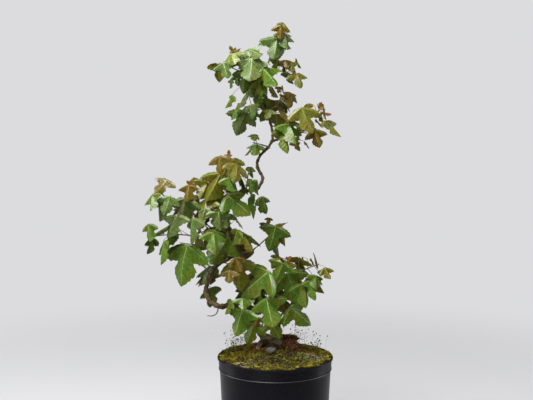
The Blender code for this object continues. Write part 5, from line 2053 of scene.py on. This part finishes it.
@dataclass
class CrownPart:
    """A part of the crown: its masses as leaves, shoots, stalks and buds."""

    name: str
    shape: LeafShape
    growth: Growth
    tints: list[Material]
    woods: list[Material]
    thickness: float = 0.32
    step: float = 0.8
    shoot_sides: int = 9
    stalk_sides: int = 6
    stalk_radius: float = 0.46
    stalk_arch: float = 0.1
    node_swell: float = 0.32
    bud_length: float = 2.2
    leaves: MeshParts = field(default_factory=MeshParts)
    twigs: MeshParts = field(default_factory=MeshParts)
    draw: Draw = field(default_factory=Draw)

    def build(self) -> None:
        """Builds the part's leaves and its twigs."""
        sprays = [spray for spray in self.growth.sprays if spray.mass.part == self.name]
        for spray in sprays:
            self.draw.seed(spray.mass.seed * 3 + 1)
            self._shoot(spray)
            for twig in spray.twigs:
                self.twigs.tube(resampled(twig, self.step), self.stalk_sides, 1)
            for leaf in spray.leaves:
                self._blade(leaf, list(Tint).index(self._tint(spray.mass, leaf)) * 3)
                self._stalk(leaf)
        nodes = [f"foliage_{spray.mass.name}" for spray in sprays]
        mounted(self.leaves.build(f"leaves_{self.name}", self.tints, 55), nodes)
        mounted(self.twigs.build(f"twigs_{self.name}", self.woods))

    def _tint(self, mass: Mass, leaf: Leaf) -> Tint:
        """Draws a leaf's tint: its spray's own, or bronze with youth; a leaf that faces up may take the paler
        grey, a painted sheen.

        Args:
            mass: The leaf's mass.
            leaf: The leaf.

        Returns:
            The tint.
        """
        chance = self.draw.random()
        if leaf.age > 1:
            return Tint.RUST if chance < 0.45 else Tint.BRONZE
        if leaf.age > 0.85 and mass.bronze >= 0.3 and chance < 0.55:
            return Tint.BRONZE
        if mass.tint and (leaf.age < 0.6 or chance < 0.66):
            return Tint[mass.tint]
        small = leaf.length < 0.75 * mass.leaf
        if small and self.draw.random() < mass.bronze * (0.35 + 0.95 * leaf.age):
            return Tint.BRONZE if self.draw.random() < 0.6 else Tint.OLIVE
        chance = self.draw.random()
        if leaf.age > 0.7 and chance < 0.12:
            return Tint.FRESH
        # Leaves that face up often get the paler grey tint, which paints the sheen of light from above.
        if leaf.face.z > 0.6 and chance < 0.45:
            return Tint.GREY
        if chance < 0.26:
            return Tint.DARK
        return Tint.OLIVE if chance > 0.8 else Tint.MID

    def _blade(self, leaf: Leaf, slot: int) -> None:
        """Adds a blade with its upper side, underside and rim.

        Args:
            leaf: The leaf.
            slot: First of its tint's material numbers.
        """
        shape = self.shape
        middle, normals = shape.bent(leaf, self.draw)
        count = len(middle)
        lift = normals * self.thickness / 2
        rim = np.array(shape.rim)
        ahead = np.roll(rim, -1)
        upper, sides = shape.faces, np.stack((rim, rim + count, ahead + count, ahead), axis=1)
        if leaf.midrib.cross(leaf.face).cross(leaf.midrib).dot(leaf.face) < 0:
            upper, sides = upper[:, ::-1], sides[:, ::-1]
        self.leaves.add(np.concatenate((middle + lift, middle - lift)),
                        (upper, np.where(shape.on_vein, slot + 2, slot)),
                        (upper[:, ::-1] + count, np.where(shape.on_vein, slot + 2, slot + 1)), (sides, slot))

    def _shoot(self, spray: Spray) -> None:
        """Adds a mass's shoot with its nodes and buds.

        Args:
            spray: The grown mass.
        """
        root, host_radius, _ = place_at(self.growth.paths[spray.mass.host], spray.mass.share)
        nodes = [leaf.node for leaf in spray.leaves]
        rows = []
        foot = (root, min(STEM_ROOT_RADIUS * 1.35, host_radius))
        for place, radius in resampled([foot] + spray.stem, self.step):
            swell = max([exp(-((place - node).length / 0.9) ** 2) for node in nodes] + [0])
            rows.append((place, radius * 0.86 * (1 + self.node_swell * swell)))
        self.twigs.tube(rows, self.shoot_sides, 0 if spray.mass.host.startswith(("trunk", "bough")) else 1)
        tip, radius = spray.stem[-1]
        along = (tip - spray.stem[-2][0]).normalized()
        side = along.orthogonal().normalized()
        buds = [(tip, along * self.bud_length)]
        buds += [(node + side * radius * 0.8, (along + side * 0.7).normalized() * self.bud_length * 0.6)
                 for node in nodes[::2]]
        for place, way in buds:
            rows = ((0, 0.2), (0.35, 0.3), (0.7, 0.2), (1, 0.05))
            self.twigs.tube([(place + way * share, way.length * wide) for share, wide in rows], 6, 3)

    def _stalk(self, leaf: Leaf) -> None:
        """Adds a leaf's stalk, arched from its node to its blade.

        Args:
            leaf: The leaf.
        """
        end = leaf.base + leaf.midrib * LEAF_SINK * 0.4
        span = (end - leaf.node).length
        rise = UP * span * self.stalk_arch
        first = leaf.node + (end - leaf.node) * 0.4 + rise
        second = end - leaf.midrib * span * 0.22 + rise
        size = self.stalk_radius * max(min(leaf.length / 34, 1.15), 0.6) * 0.9
        rows = []
        for step in range(9):
            t = step / 8
            place = (leaf.node * (1 - t) ** 3 + first * 3 * t * (1 - t) ** 2
                     + second * 3 * t * t * (1 - t) + end * t ** 3)
            rows.append((place, size * (1.35 - 0.9 * t if t < 0.25 else max(t, 0.75) + 0.25)))
        self.twigs.tube(rows, self.stalk_sides, 2 if leaf.age > 0.6 or self.draw.random() < 0.35 else 1)


@dataclass
class Crown:
    """The whole crown, dressed part by part."""

    woods: tuple[BarkFinish | Matte, ...] = (
        BarkFinish("brown_shoot", (0.085, 0.066, 0.026), (0.16, 0.135, 0.056), (0.21, 0.18, 0.12),
                   (0.11, 0.075, 0.035), 0.3, 900, 0.08),
        Matte("green_stalk", (0.15, 0.165, 0.035), (0.26, 0.26, 0.075), 200, 1500, 0.5, 0.5, 0.04),
        Matte("red_stalk", (0.15, 0.055, 0.024), (0.23, 0.1, 0.04), 200, 1500, 0.5, 0.5, 0.04),
        Matte("brown_bud", (0.06, 0.03, 0.018), (0.14, 0.07, 0.035), 500, 1500, 0.6, 0.4, 0.05),
    )

    def build(self) -> None:
        """Grows the tree and builds the crown's parts."""
        growth = Growth()
        growth.grow()
        LOG.info("crown: %d leaves", sum(len(spray.leaves) for spray in growth.sprays))
        shape = LeafShape()
        tints = [material for tint in Tint for material in tint.value.materials()]
        woods = [finish.material() for finish in self.woods]
        for name in CROWN:
            CrownPart(name, shape, growth, tints, woods).build()


@dataclass(frozen=True)
class Softbox:
    """A soft light: its place, its aim, its size and its power."""

    name: str
    place: Place
    aim: Place
    width: float
    height: float
    watts: float

    def light(self) -> None:
        """Makes the light."""
        lamp = bpy.data.lights.new(self.name, "AREA")
        lamp.shape = "RECTANGLE"
        lamp.size = self.width
        lamp.size_y = self.height
        lamp.energy = self.watts
        stand = bpy.data.objects.new(self.name, lamp)
        stand.location = self.place
        stand.rotation_euler = (Vector(self.aim) - Vector(self.place)).to_track_quat("-Z", "Y").to_euler()
        bpy.context.scene.collection.objects.link(stand)


@dataclass
class Studio:
    """A pale floor, soft lights and the camera at the photograph's viewing angle."""

    floor_radius: float = 1.1
    floor_tone: Colour = (0.465, 0.465, 0.475)
    fade_from: float = 0.3
    backdrop: Colour = (0.715, 0.715, 0.73)
    ambient: float = 0.15
    lens: float = 60.79
    camera_place: Place = (-0.01133, -1.15186, 0.4258)
    camera_pitch: float = 4.6
    lights: tuple[Softbox, ...] = (
        Softbox("overhead", (-0.25, -0.3, 1.55), (0, 0, 0.3), 0.8, 0.8, 38),
        Softbox("left_side", (-1.35, 0.25, 0.55), (0, 0, 0.25), 0.5, 1.5, 10.5),
        Softbox("right_side", (1.35, 0.3, 0.55), (0, 0, 0.25), 0.45, 1.5, 9.8),
        Softbox("front_fill", (-0.7, -1.5, 0.75), (0, 0, 0.3), 1.1, 1.1, 12),
    )

    def build(self) -> None:
        """Builds the floor, the world, the lights and the camera."""
        self._floor()
        self._world()
        for box in self.lights:
            box.light()
        lens = bpy.data.cameras.new("camera")
        lens.lens = self.lens
        lens.sensor_width = 36
        camera = bpy.data.objects.new("camera", lens)
        camera.location = self.camera_place
        camera.rotation_euler = (radians(90 - self.camera_pitch), 0, 0)
        bpy.context.scene.collection.objects.link(camera)
        bpy.context.scene.camera = camera
        bpy.context.scene.view_settings.view_transform = "Standard"
        LOG.info("studio: %d lights", len(self.lights))

    def _floor(self) -> None:
        """Builds the round floor, whose edge fades out."""
        edit = bmesh.new()
        bmesh.ops.create_circle(edit, cap_ends=True, segments=96, radius=self.floor_radius)
        look = Dressing("pale_floor", 0.9, 0.1)
        reach = look.add("VectorMath", {0: look.places()}, operation="LENGTH").outputs["Value"]
        mottle = look.effect(Patches, Scale=6)["Mask"]
        look.put("Base Color", look.mix(mottle, dimmed(self.floor_tone, 0.99), self.floor_tone))
        look.put("Alpha", look.ramp(reach, self.fade_from, self.floor_radius, 1, 0))
        shown(edit, "floor", [look.material])

    def _world(self) -> None:
        """Sets the soft light from all round, and the plain backdrop that the camera sees."""
        world = bpy.data.worlds.new("studio")
        bpy.context.scene.world = world
        world.use_nodes = True
        nodes = NodeTree(world.node_tree)
        seen = nodes.add("LightPath").outputs["Is Camera Ray"]
        tone = nodes.mix(seen, dimmed(self.backdrop, self.ambient), self.backdrop)
        world.node_tree.links.new(tone, world.node_tree.nodes["Background"].inputs["Color"])


def main() -> None:
    """Builds all pieces."""
    logging.basicConfig(level=logging.INFO, format="%(name)s: %(message)s")
    for assembly in (Studio, NurseryPot, SoilFinish, MossBed, Stone, BarkHeap, TrunkAndBoughs, Crown):
        assembly().build()


if __name__ == "__main__":
    main()
